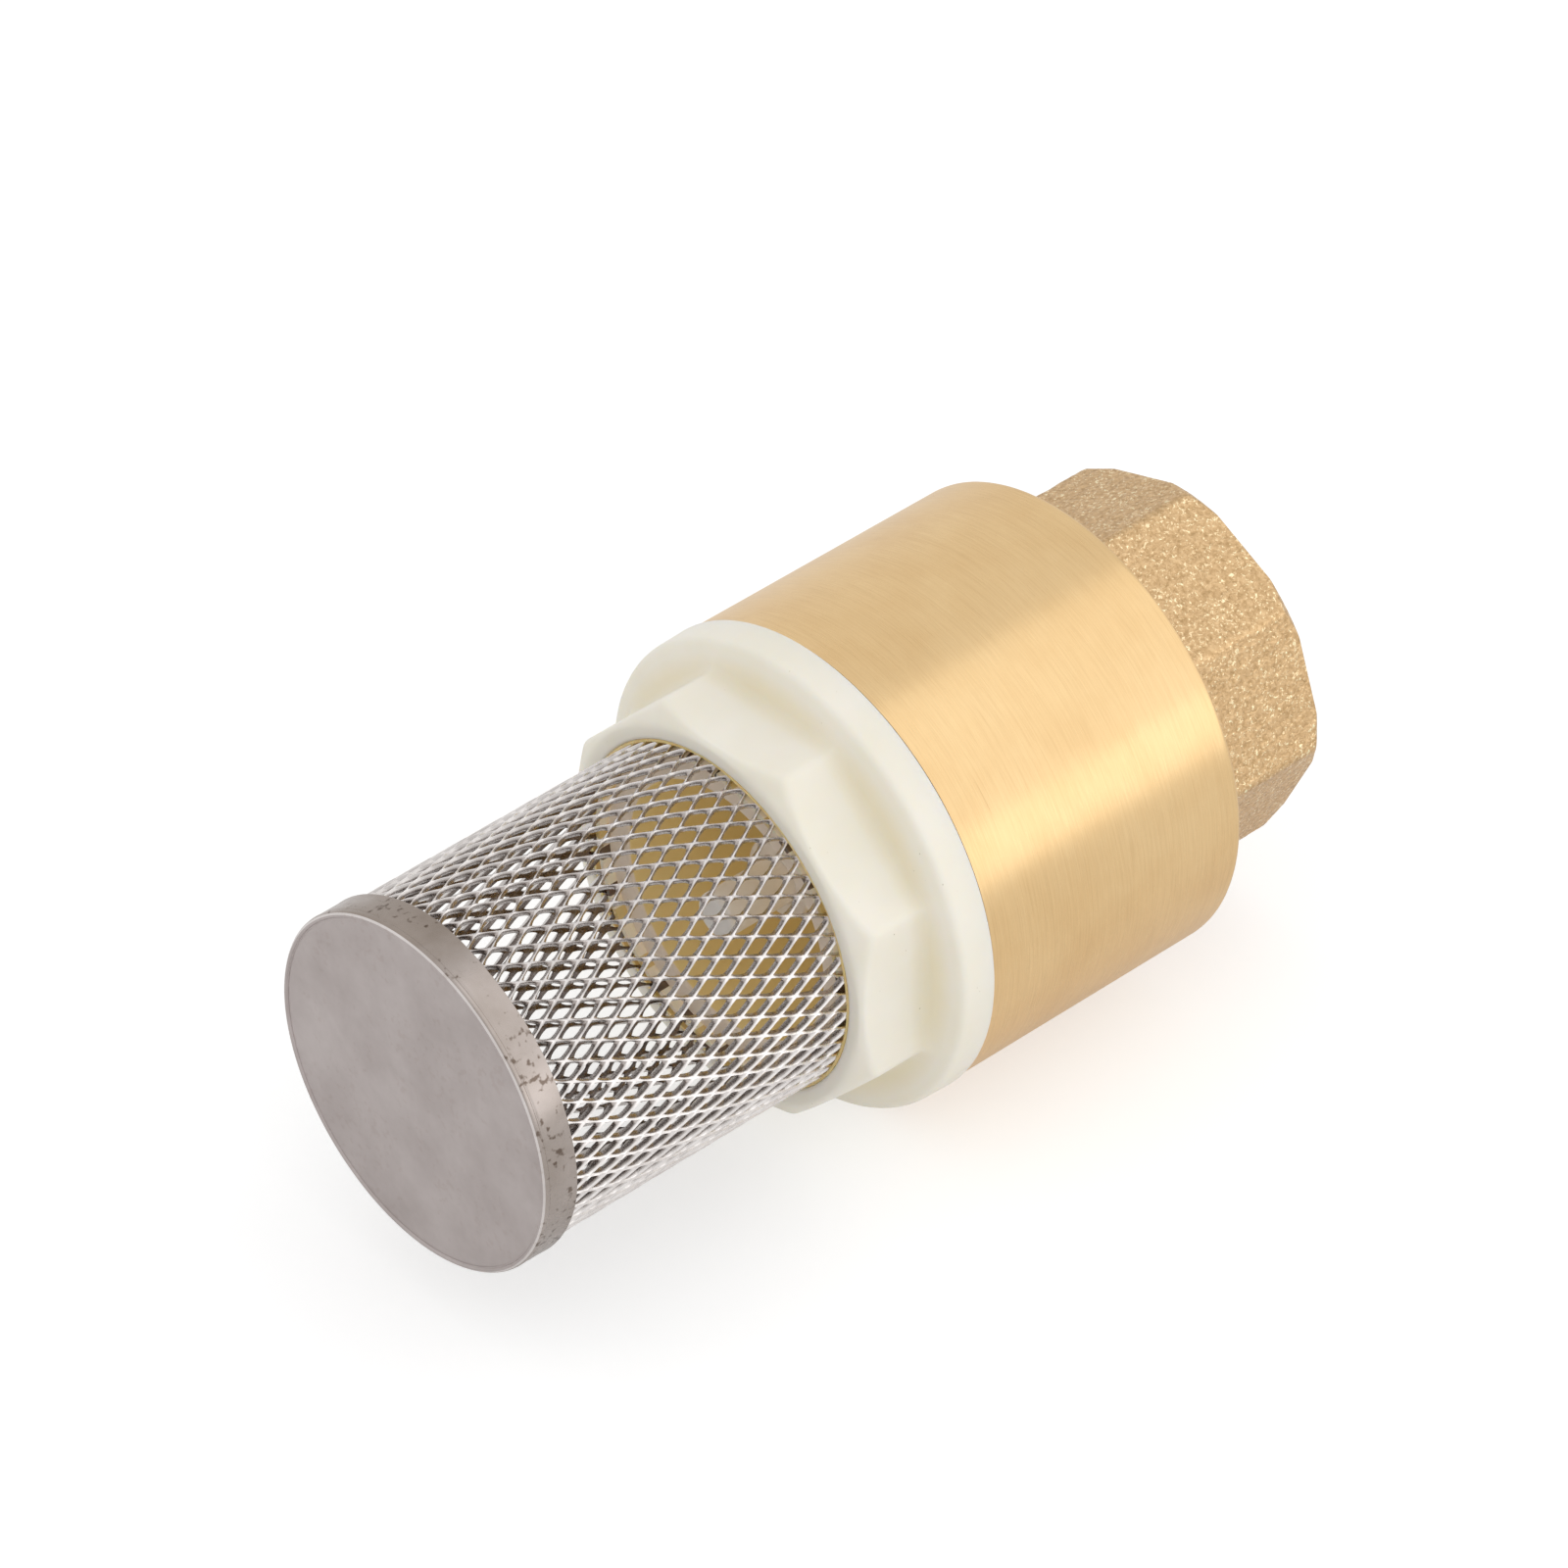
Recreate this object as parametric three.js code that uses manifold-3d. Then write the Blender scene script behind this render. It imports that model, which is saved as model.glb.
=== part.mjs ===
// Spring-loaded foot valve with a screwed-in strainer, lying on its side.
// Millimetres, +Z up. The flow axis is along +X: the strainer's cap is at -X, the outlet at +X.
// The origin is on the floor, under the middle of the valve's length.
import * as THREE from 'three';
import { mergeVertices } from 'three/addons/utils/BufferGeometryUtils.js';
import Module from 'manifold-3d';

const wasm = await Module();
wasm.setup();

// ---- driving dimensions ----------------------------------------------------------------------
const LENGTH = 86;
const FACETS = 48;
const SMALL_FACETS = 24;
const GAP = 0.3;
const FINE_GAP = 0.2;
const CREVICE = 0.1;

const STRAINER_LENGTH = 32.7;
const CAP_RADIUS = 16.3;
const CAP_SKIRT = 3.4;
const CAP_SHEET = 0.4;
const CAP_ROLL = 0.7;
const MESH_RADIUS = 15.75;
const MESH_WALL = 0.6;
const TUBE_END_GAP = 0.4;
const BOND_WALL = 0.5;
const BOND_GAP = 0.15;

const NUT_CORNER_RADIUS = 19.2;
const NUT_TURN = THREE.MathUtils.degToRad(24.4);
const NUT_OCTAGON_LENGTH = 6.7;
const NUT_CHAMFER_LENGTH = 1.35;
const NUT_CHAMFER_DROP = 1.7;
const FLANGE_RADIUS = 21.7;
const FLANGE_THICKNESS = 3.3;
const FLANGE_SLOPE = 1;
const FLANGE_EDGE = 0.5;
const FLANGE_ROOT_STEP = 1.8;
const NUT_BORE = 11.9;
const NUT_HOLE = 15.95;
const NUT_FLOOR_DEPTH = 0.9;
const NUT_SOCKET_DEPTH = 5.1;
const SOCKET_CLEARANCE = 0.8;
const NUT_THREAD_RADIUS = 18.3;
const NUT_THREAD_LENGTH = 4.7;
const NUT_LEAD_IN = 0.6;

const BODY_RADIUS = 21.5;
const BODY_EDGE = 0.4;
const BODY_LENGTH = 28.1;
const BODY_CHAMBER = 17.6;
const BODY_RELIEF = 0.6;
const BODY_SHOULDER_WALL = 2.8;
const CONE_STEP = 2.6;
const ORING_ROOM = 2;
const ORING_ROOM_RADIUS = 20.1;
const ORING_RADIUS = 19.2;
const ORING_SECTION = 0.7;
const OUTLET_FLATS = 31.5;
const OUTLET_TURN = THREE.MathUtils.degToRad(-2.8);
const OUTLET_CHAMFER = 0.9;
const OUTLET_THROAT = 11.5;
const OUTLET_THROAT_LENGTH = 2;
const OUTLET_THREAD_BORE = 12.1;
const OUTLET_MOUTH = 13.6;
const OUTLET_MOUTH_DEPTH = 1.5;

const SEAT_RADIUS = 12.9;
const SEAT_LIP = 0.5;
const SEAT_LIP_HEIGHT = 0.8;
const CAGE_THICKNESS = 2.5;
const CAGE_BORE = 11.5;
const CAGE_HUB_RADIUS = 3.6;
const CAGE_HUB_REACH = 10.1;
const CAGE_HUB_INSET = 0.6;
const GUIDE_THICKNESS = 2.2;
const GUIDE_RIM_WIDTH = 2.7;
const GUIDE_HUB_RADIUS = 4;
const GUIDE_HUB_START_REACH = 0.8;
const GUIDE_HUB_END_REACH = 1.2;
const SPRING_SEAT_EDGE = 1;
const SPRING_SEAT_THICKNESS = 1;
const SPOKE_WIDTH = 2.4;
const SPOKE_STEP = 0.9;
const SPOKE_ROOT = 0.5;
const GASKET_INNER = 14.6;
const GASKET_OUTER = 17.9;
const GASKET_THICKNESS = 0.7;

const STEM_RADIUS = 2.1;
const STEM_FIT = 0.15;
const STEM_TIP = 0.6;
const STEM_PROUD = 0.2;
const STEM_ENGAGEMENT = 2;
const DISC_RADIUS = 14.9;
const DISC_THICKNESS = 2;
const DISC_SPIGOT = 9.6;
const DISC_CHAMFER_LENGTH = 0.8;
const DISC_CHAMFER_DROP = 1.2;
const SEAL_RADIUS = 14.5;
const SEAL_THICKNESS = 1.8;
const WASHER_RADIUS = 11.2;
const CLIP_RADIUS = 3.2;
const CLIP_THICKNESS = 0.4;
const CLIP_SLOT = 2.2;
const STEM_NUT_CORNER = 4.04;
const STEM_NUT_THICKNESS = 2.3;
const SPRING_RADIUS = 6.2;
const SPRING_WIRE = 0.8;
const SPRING_TURNS = 4;
const SPRING_END_GAP = 0.15;

// ---- stations along the flow axis ------------------------------------------------------------
const AXIS_HEIGHT = FLANGE_RADIUS * Math.cos(Math.PI / FACETS);
const CAP_FACE = -LENGTH / 2;
const OUTLET_FACE = LENGTH / 2;
const NUT_FACE = CAP_FACE + STRAINER_LENGTH;
const NUT_FLOOR = NUT_FACE + NUT_FLOOR_DEPTH;
const SOCKET_END = NUT_FACE + NUT_SOCKET_DEPTH;
const TUBE_END = SOCKET_END - TUBE_END_GAP;
const FLANGE_FRONT = NUT_FACE + NUT_OCTAGON_LENGTH;
const FLANGE_BACK = FLANGE_FRONT + FLANGE_SLOPE + FLANGE_THICKNESS;
const BODY_MOUTH = FLANGE_BACK + FINE_GAP;
const BODY_SHOULDER = FLANGE_BACK + BODY_LENGTH;
const CHAMBER_END = BODY_SHOULDER - BODY_SHOULDER_WALL;
const ORING_ROOM_END = BODY_MOUTH + ORING_ROOM;
const SLEEVE_END = FLANGE_BACK + NUT_THREAD_LENGTH;
const GASKET_START = SLEEVE_END + GAP;
const CAGE_START = GASKET_START + GASKET_THICKNESS + FINE_GAP;
const CAGE_END = CAGE_START + CAGE_THICKNESS;
const LIP_TOP = CAGE_END + SEAT_LIP_HEIGHT;
const SPOKE_END = CAGE_END - SPOKE_STEP;
const CLIP_START = SPOKE_END + GAP;
const CLIP_END = CLIP_START + CLIP_THICKNESS;
const SEAL_START = LIP_TOP + GAP;
const WASHER_START = CLIP_END + GAP;
const DISC_START = SEAL_START + SEAL_THICKNESS + GAP;
const DISC_END = DISC_START + DISC_THICKNESS;
const STEM_NUT_START = DISC_END + GAP;
const STEM_NUT_END = STEM_NUT_START + STEM_NUT_THICKNESS;
const GUIDE_END = CHAMBER_END - GAP;
const GUIDE_START = GUIDE_END - GUIDE_THICKNESS;
const STEM_START = NUT_FACE - STEM_PROUD;
const STEM_END = GUIDE_START + STEM_ENGAGEMENT;
const STEM_HOLE = STEM_RADIUS + STEM_FIT;
const OUTLET_CORNER_RADIUS = OUTLET_FLATS / 2 / Math.cos(Math.PI / 8);
const OVERSHOOT = 1;

// ---- geometry helpers ------------------------------------------------------------------------

// Twice the signed area of a closed outline of [x, radius] points.
function outlineArea(points) {
  return points.reduce((sum, [x, r], i) => {
    const [nextX, nextR] = points[(i + 1) % points.length];
    return sum + x * nextR - nextX * r;
  }, 0);
}

// A solid of revolution about the flow axis, from a closed outline of [x, radius] points.
function revolve(outline, facets = FACETS) {
  const ordered = outlineArea(outline) < 0 ? outline : [...outline].reverse();
  const profile = [...ordered, ordered[0]].map(([x, r]) => new THREE.Vector2(r, x));
  const geometry = new THREE.LatheGeometry(profile, facets, Math.PI / facets);
  geometry.rotateZ(-Math.PI / 2);
  return toSolid(geometry);
}

// A closed geometry as a manifold solid: shared vertices merged, collapsed triangles dropped.
function toSolid(geometry) {
  const bare = geometry.clone();
  bare.deleteAttribute('normal');
  bare.deleteAttribute('uv');
  const merged = mergeVertices(bare, 1e-4);
  const index = [...merged.index.array];
  const triangles = [];
  for (let i = 0; i < index.length; i += 3) {
    const [a, b, c] = index.slice(i, i + 3);
    if (a !== b && b !== c && c !== a) triangles.push(a, b, c);
  }
  return new wasm.Manifold(new wasm.Mesh({
    numProp: 3,
    vertProperties: Float32Array.from(merged.attributes.position.array),
    triVerts: Uint32Array.from(triangles),
  }));
}

// A manifold solid back as a three.js geometry.
function toGeometry(solid) {
  const mesh = solid.getMesh();
  const geometry = new THREE.BufferGeometry();
  geometry.setAttribute('position', new THREE.BufferAttribute(mesh.vertProperties, 3));
  geometry.setIndex(new THREE.BufferAttribute(mesh.triVerts, 1));
  const flat = geometry.toNonIndexed();
  flat.computeVertexNormals();
  return flat;
}

// A regular prism along the flow axis with one corner turned from the top towards +Y.
function prism(sides, cornerRadius, start, end, turn = 0) {
  const geometry = new THREE.CylinderGeometry(cornerRadius, cornerRadius, end - start, sides);
  geometry.rotateZ(-Math.PI / 2);
  geometry.rotateX(-turn);
  geometry.translate((start + end) / 2, 0, 0);
  return toSolid(geometry);
}

// A solid disc or round bar about the flow axis.
function disc(radius, start, end, facets = FACETS) {
  return revolve([[start, 0], [end, 0], [end, radius], [start, radius]], facets);
}

// A plain ring about the flow axis.
function ring(inner, outer, start, end, facets = FACETS) {
  return revolve([[start, inner], [end, inner], [end, outer], [start, outer]], facets);
}

// Spokes that reach from a hub to a rim, spread evenly about the flow axis.
function spokes(count, width, inner, outer, start, end, firstTurn) {
  const all = [];
  for (let i = 0; i < count; i += 1) {
    const bar = new THREE.BoxGeometry(end - start, width, outer - inner);
    bar.translate((start + end) / 2, 0, (inner + outer) / 2);
    bar.rotateX(firstTurn + (i * 2 * Math.PI) / count);
    all.push(toSolid(bar));
  }
  return all.reduce((sum, bar) => sum.add(bar));
}

// ---- materials -------------------------------------------------------------------------------
const brass = () => new THREE.MeshStandardMaterial({ color: 0xe0bd86, roughness: 0.38, metalness: 1 });
const nylon = () => new THREE.MeshStandardMaterial({ color: 0xebe7d8, roughness: 0.45, metalness: 0 });
const acetal = () => new THREE.MeshStandardMaterial({ color: 0xdad8d2, roughness: 0.4, metalness: 0 });
const steel = () => new THREE.MeshStandardMaterial({ color: 0xb4aca6, roughness: 0.35, metalness: 1 });
const rubber = () => new THREE.MeshStandardMaterial({ color: 0x1c1c1d, roughness: 0.8, metalness: 0 });
const resin = () => new THREE.MeshStandardMaterial({ color: 0xb8a468, roughness: 0.3, metalness: 0 });

// ---- outlet half -----------------------------------------------------------------------------

// Turned barrel with a cast octagon outlet; bored in steps for the working parts.
function outletBody() {
  const barrel = revolve([
    [BODY_MOUTH, 0], [BODY_SHOULDER, 0], [BODY_SHOULDER, BODY_RADIUS - BODY_EDGE],
    [BODY_SHOULDER - BODY_EDGE, BODY_RADIUS], [BODY_MOUTH + BODY_EDGE, BODY_RADIUS],
    [BODY_MOUTH, BODY_RADIUS - BODY_EDGE],
  ]);
  const root = BODY_SHOULDER - OVERSHOOT;
  const envelope = OUTLET_CORNER_RADIUS + CREVICE;
  const octagon = prism(8, OUTLET_CORNER_RADIUS, root, OUTLET_FACE, OUTLET_TURN)
    .intersect(revolve([
      [root, 0], [OUTLET_FACE, 0], [OUTLET_FACE, OUTLET_CORNER_RADIUS - OUTLET_CHAMFER],
      [OUTLET_FACE - OUTLET_CHAMFER, envelope], [root, envelope],
    ]));
  const seatStep = CAGE_END + GAP;
  const sleeveRoom = NUT_THREAD_RADIUS + GAP;
  const chamberRoom = BODY_CHAMBER + BODY_RELIEF;
  const coneStart = BODY_CHAMBER - CONE_STEP;
  const threadStart = BODY_SHOULDER + OUTLET_THROAT_LENGTH;
  const outside = OUTLET_FACE + OVERSHOOT;
  const bore = revolve([
    [BODY_MOUTH - OVERSHOOT, 0], [BODY_MOUTH - OVERSHOOT, ORING_ROOM_RADIUS],
    [ORING_ROOM_END, ORING_ROOM_RADIUS], [ORING_ROOM_END, sleeveRoom],
    [GASKET_START, sleeveRoom], [GASKET_START, chamberRoom],
    [seatStep, chamberRoom], [seatStep, BODY_CHAMBER],
    [CHAMBER_END, BODY_CHAMBER], [CHAMBER_END, coneStart],
    [BODY_SHOULDER + BODY_RELIEF, OUTLET_THROAT], [threadStart, OUTLET_THROAT],
    [threadStart, OUTLET_THREAD_BORE], [OUTLET_FACE - OUTLET_MOUTH_DEPTH, OUTLET_THREAD_BORE],
    [OUTLET_FACE, OUTLET_MOUTH], [outside, OUTLET_MOUTH], [outside, 0],
  ]);
  return barrel.add(octagon).subtract(bore);
}

// Valve seat with a raised lip, and a spider whose long hub guides the stem from below.
function seatCage() {
  const rimRadius = BODY_CHAMBER + GAP;
  const rim = revolve([
    [CAGE_START, CAGE_BORE], [CAGE_END, CAGE_BORE], [CAGE_END, SEAT_RADIUS - SEAT_LIP],
    [LIP_TOP, SEAT_RADIUS - SEAT_LIP / 2], [LIP_TOP, SEAT_RADIUS + SEAT_LIP / 2],
    [CAGE_END, SEAT_RADIUS + SEAT_LIP], [CAGE_END, rimRadius], [CAGE_START, rimRadius],
  ]);
  const hubStart = CAGE_START - CAGE_HUB_REACH;
  const hubEnd = CAGE_START + CAGE_HUB_INSET;
  const hub = disc(CAGE_HUB_RADIUS, hubStart, hubEnd, SMALL_FACETS);
  const arms = spokes(3, SPOKE_WIDTH, 0, NUT_BORE, CAGE_START, SPOKE_END, Math.PI)
    .subtract(disc(CAGE_HUB_RADIUS - SPOKE_ROOT, hubEnd, CAGE_END, SMALL_FACETS));
  const hole = disc(STEM_HOLE, hubStart - OVERSHOOT, CAGE_END, SMALL_FACETS);
  return rim.add(hub).add(arms).subtract(hole);
}

// Flat gasket under the seat cage.
function cageGasket() {
  return ring(GASKET_INNER, GASKET_OUTER, GASKET_START, GASKET_START + GASKET_THICKNESS);
}

// Spider that guides the stem's upper end and carries the spring.
function upperGuide() {
  const rimRadius = BODY_CHAMBER - GAP;
  const hubStart = GUIDE_START - GUIDE_HUB_START_REACH;
  const hubEnd = GUIDE_END + GUIDE_HUB_END_REACH;
  const rim = ring(rimRadius - GUIDE_RIM_WIDTH, rimRadius, GUIDE_START, GUIDE_END);
  const hub = disc(GUIDE_HUB_RADIUS, hubStart, hubEnd, SMALL_FACETS);
  const seatEnd = GUIDE_START + SPRING_SEAT_THICKNESS;
  const springSeat = disc(SPRING_RADIUS + SPRING_SEAT_EDGE, GUIDE_START, seatEnd);
  const armEnd = rimRadius - GUIDE_RIM_WIDTH / 2;
  const arms = spokes(4, SPOKE_WIDTH, 0, armEnd, GUIDE_START, GUIDE_END, Math.PI / 4);
  const hole = disc(STEM_HOLE, hubStart - OVERSHOOT, hubEnd + OVERSHOOT, SMALL_FACETS);
  return rim.add(hub).add(springSeat).add(arms).subtract(hole);
}

// Line of the wire of the compression spring between the poppet and the upper guide.
class SpringPath extends THREE.Curve {
  constructor(start, end) {
    super();
    this.start = start;
    this.span = end - start;
  }

  getPoint(t) {
    const angle = t * SPRING_TURNS * 2 * Math.PI;
    return new THREE.Vector3(
      this.start + t * this.span,
      SPRING_RADIUS * Math.sin(angle),
      SPRING_RADIUS * Math.cos(angle),
    );
  }
}

// Points of a circle with few sides, for small sections.
function circlePoints(centreX, centreY, radius, sides = 8) {
  return Array.from({ length: sides }, (_, i) => {
    const angle = (i * 2 * Math.PI) / sides;
    return [centreX + radius * Math.cos(angle), centreY + radius * Math.sin(angle)];
  });
}

function returnSpring() {
  const wireRadius = SPRING_WIRE / 2;
  const inset = wireRadius + SPRING_END_GAP;
  const stepsPerTurn = 20;
  const section = new THREE.Shape(
    circlePoints(0, 0, wireRadius).map(([x, y]) => new THREE.Vector2(x, y)),
  );
  return toSolid(new THREE.ExtrudeGeometry(section, {
    extrudePath: new SpringPath(DISC_END + inset, GUIDE_START - inset),
    steps: SPRING_TURNS * stepsPerTurn,
    bevelEnabled: false,
  }));
}

// ---- poppet ----------------------------------------------------------------------------------

// Disc that closes the seat, with a spigot for the seal.
function poppetDisc() {
  return revolve([
    [SEAL_START, STEM_HOLE], [DISC_END, STEM_HOLE], [DISC_END, DISC_RADIUS - DISC_CHAMFER_DROP],
    [DISC_END - DISC_CHAMFER_LENGTH, DISC_RADIUS], [DISC_START, DISC_RADIUS],
    [DISC_START, DISC_SPIGOT], [SEAL_START, DISC_SPIGOT],
  ]);
}

// Flat rubber ring that meets the seat's lip.
function poppetSeal() {
  return ring(DISC_SPIGOT + GAP, SEAL_RADIUS, SEAL_START, SEAL_START + SEAL_THICKNESS);
}

// Washer that holds the seal on the disc.
function sealRetainer() {
  return ring(STEM_HOLE, WASHER_RADIUS, WASHER_START, SEAL_START - GAP);
}

// Round stem that runs in both guides; its lower tip ends level with the nut's face.
function poppetStem() {
  return revolve([
    [STEM_START, 0], [STEM_END, 0], [STEM_END, STEM_RADIUS - STEM_TIP],
    [STEM_END - STEM_TIP, STEM_RADIUS], [STEM_START + STEM_TIP, STEM_RADIUS],
    [STEM_START, STEM_RADIUS - STEM_TIP],
  ], SMALL_FACETS);
}

// Open retaining clip under the seal washer.
function stemClip() {
  const slot = new THREE.BoxGeometry(CLIP_THICKNESS + 2 * OVERSHOOT, CLIP_SLOT, CLIP_RADIUS);
  slot.translate((CLIP_START + CLIP_END) / 2, 0, STEM_HOLE + CLIP_RADIUS / 2 - OVERSHOOT);
  return ring(STEM_HOLE, CLIP_RADIUS, CLIP_START, CLIP_END, SMALL_FACETS).subtract(toSolid(slot));
}

// Hexagon nut that clamps the disc, the seal and the washer on the stem.
function stemNut() {
  const hole = disc(STEM_HOLE, STEM_NUT_START - OVERSHOOT, STEM_NUT_END + OVERSHOOT, SMALL_FACETS);
  return prism(6, STEM_NUT_CORNER, STEM_NUT_START, STEM_NUT_END).subtract(hole);
}

// ---- strainer half ---------------------------------------------------------------------------

// O-ring between the nut's flange and the body's mouth.
function nutORing() {
  return revolve(circlePoints(BODY_MOUTH + CREVICE + ORING_SECTION, ORING_RADIUS, ORING_SECTION));
}

// Nylon nut: chamfered octagon, round flange, threaded sleeve and a socket for the mesh tube.
function inletNut() {
  const envelope = NUT_CORNER_RADIUS + CREVICE;
  const root = FLANGE_FRONT + 2 * FLANGE_SLOPE;
  const octagon = prism(8, NUT_CORNER_RADIUS, NUT_FACE, root, NUT_TURN)
    .intersect(revolve([
      [NUT_FACE, 0], [root, 0], [root, envelope], [NUT_FACE + NUT_CHAMFER_LENGTH, envelope],
      [NUT_FACE, NUT_CORNER_RADIUS - NUT_CHAMFER_DROP],
    ]));
  const rimFront = FLANGE_FRONT + FLANGE_SLOPE;
  const flange = revolve([
    [FLANGE_FRONT, 0], [FLANGE_BACK, 0], [FLANGE_BACK, FLANGE_RADIUS],
    [rimFront + FLANGE_EDGE, FLANGE_RADIUS], [rimFront, FLANGE_RADIUS - FLANGE_EDGE],
    [FLANGE_FRONT, NUT_CORNER_RADIUS - FLANGE_ROOT_STEP],
  ]);
  const neck = NUT_THREAD_RADIUS - CREVICE;
  const sleeve = revolve([
    [FLANGE_BACK - OVERSHOOT, 0], [SLEEVE_END, 0], [SLEEVE_END, NUT_THREAD_RADIUS - NUT_LEAD_IN],
    [SLEEVE_END - NUT_LEAD_IN, NUT_THREAD_RADIUS], [ORING_ROOM_END, NUT_THREAD_RADIUS],
    [ORING_ROOM_END, neck], [FLANGE_BACK - OVERSHOOT, neck],
  ]);
  const socketInner = MESH_RADIUS - MESH_WALL - SOCKET_CLEARANCE;
  const bore = disc(NUT_BORE, NUT_FACE - OVERSHOOT, SLEEVE_END + OVERSHOOT);
  const mouth = disc(NUT_HOLE, NUT_FACE - OVERSHOOT, NUT_FLOOR);
  const socket = ring(socketInner, NUT_HOLE, NUT_FLOOR - CREVICE, SOCKET_END);
  return octagon.add(flange).add(sleeve).subtract(bore).subtract(mouth).subtract(socket);
}

// Rolled tube of expanded sheet metal, as a plain thin tube of the same outer size.
function strainerMesh() {
  return ring(MESH_RADIUS - MESH_WALL, MESH_RADIUS, CAP_FACE + CAP_SHEET + FINE_GAP, TUBE_END);
}

// Bead of resin that fixes the mesh tube in the nut's socket.
function bondRing() {
  const outer = MESH_RADIUS - MESH_WALL - BOND_GAP;
  return ring(outer - BOND_WALL, outer, NUT_FLOOR + CREVICE, TUBE_END);
}

// Stamped cup that closes the strainer's end.
function strainerEndCap() {
  const inner = CAP_RADIUS - CAP_SHEET;
  const skirtEnd = CAP_FACE + CAP_SKIRT;
  const shallow = CAP_ROLL * 0.3;
  return revolve([
    [CAP_FACE, 0], [CAP_FACE, CAP_RADIUS - CAP_ROLL],
    [CAP_FACE + shallow, CAP_RADIUS - shallow],
    [CAP_FACE + CAP_ROLL, CAP_RADIUS], [skirtEnd, CAP_RADIUS],
    [skirtEnd, inner], [CAP_FACE + CAP_ROLL, inner],
    [CAP_FACE + CAP_SHEET, inner - CAP_SHEET], [CAP_FACE + CAP_SHEET, 0],
  ]);
}

// ---- assembly --------------------------------------------------------------------------------
const valve = new THREE.Group();
valve.position.z = AXIS_HEIGHT;

function place(name, solid, material) {
  const mesh = new THREE.Mesh(toGeometry(solid), material);
  mesh.name = name;
  valve.add(mesh);
}

place('outlet_body', outletBody(), brass());
place('seat_cage', seatCage(), acetal());
place('cage_gasket', cageGasket(), rubber());
place('upper_guide', upperGuide(), acetal());
place('return_spring', returnSpring(), steel());
place('poppet_disc', poppetDisc(), acetal());
place('poppet_seal', poppetSeal(), rubber());
place('seal_retainer', sealRetainer(), steel());
place('poppet_stem', poppetStem(), acetal());
place('stem_clip', stemClip(), steel());
place('stem_nut', stemNut(), steel());
place('nut_o_ring', nutORing(), rubber());
place('inlet_nut', inletNut(), nylon());
place('strainer_mesh', strainerMesh(), steel());
place('bond_ring', bondRing(), resin());
place('strainer_end_cap', strainerEndCap(), steel());

export default valve;
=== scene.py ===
# Looks of a spring-loaded foot valve that lies on its side: turned and cast brass outlet body,
# moulded nylon nut, expanded-metal strainer with a stamped cap, and the working parts inside.
# Metres, +Z up. The flow axis runs along X, and every round piece is a set of rings about it.
import math

import bmesh
import bpy
import numpy as np
from mathutils import Matrix, Vector, noise


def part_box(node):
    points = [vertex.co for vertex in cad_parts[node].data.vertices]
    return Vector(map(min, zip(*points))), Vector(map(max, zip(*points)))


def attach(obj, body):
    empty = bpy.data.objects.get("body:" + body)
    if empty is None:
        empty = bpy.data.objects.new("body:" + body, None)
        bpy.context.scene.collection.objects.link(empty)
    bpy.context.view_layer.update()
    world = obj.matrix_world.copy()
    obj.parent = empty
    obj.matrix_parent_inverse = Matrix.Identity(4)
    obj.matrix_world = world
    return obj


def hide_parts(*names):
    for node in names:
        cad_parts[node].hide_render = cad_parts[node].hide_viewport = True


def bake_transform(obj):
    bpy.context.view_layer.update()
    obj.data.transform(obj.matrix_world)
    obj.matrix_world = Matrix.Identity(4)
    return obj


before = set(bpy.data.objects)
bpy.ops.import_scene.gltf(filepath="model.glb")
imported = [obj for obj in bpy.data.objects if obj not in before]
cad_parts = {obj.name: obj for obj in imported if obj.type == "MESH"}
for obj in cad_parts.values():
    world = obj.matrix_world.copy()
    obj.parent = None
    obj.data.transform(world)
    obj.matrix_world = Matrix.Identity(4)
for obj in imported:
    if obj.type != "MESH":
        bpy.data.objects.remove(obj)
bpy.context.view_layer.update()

MM = 0.001
RING = 384          # points round a large ring
SMALL_RING = 96     # points round a small ring
ARC_STEPS = 5       # points on a rounded edge
EDGE_SUPPORT = 1.3  # setbacks from a rounded corner to the ring that keeps the flat beside it flat
LARGEST_SETBACK = 0.36  # of the shorter neighbouring side


# ---- places and sizes from the frame ---------------------------------------------------------

def reach(name):
    """First x, last x and outer radius of a CAD node, in millimetres."""
    low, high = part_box(name)
    return low.x / MM, high.x / MM, high.y / MM


BODY_START, BODY_END, BODY_FLAT = reach("outlet_body")
NUT_START, SLEEVE_END, FLANGE_FLAT = reach("inlet_nut")
CAGE_HUB_START, LIP_TOP, _ = reach("seat_cage")
GUIDE_START, GUIDE_END, _ = reach("upper_guide")
DISC_START, DISC_END, _ = reach("poppet_disc")
SEAL_START, SEAL_END, _ = reach("poppet_seal")
RETAINER_START, RETAINER_END, _ = reach("seal_retainer")
STEM_START, STEM_END, _ = reach("poppet_stem")
CLIP_START, CLIP_END, _ = reach("stem_clip")
STEM_NUT_START, STEM_NUT_END, _ = reach("stem_nut")
ORING_START, ORING_END, _ = reach("nut_o_ring")
GASKET_START, GASKET_END, _ = reach("cage_gasket")
SPRING_START, SPRING_END, _ = reach("return_spring")
MESH_START, MESH_END, _ = reach("strainer_mesh")
_, BOND_END, _ = reach("bond_ring")
CAP_START, CAP_END, _ = reach("strainer_end_cap")

nut_low, nut_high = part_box("inlet_nut")
AXIS_Z = (nut_low.z + nut_high.z) / 2

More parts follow.
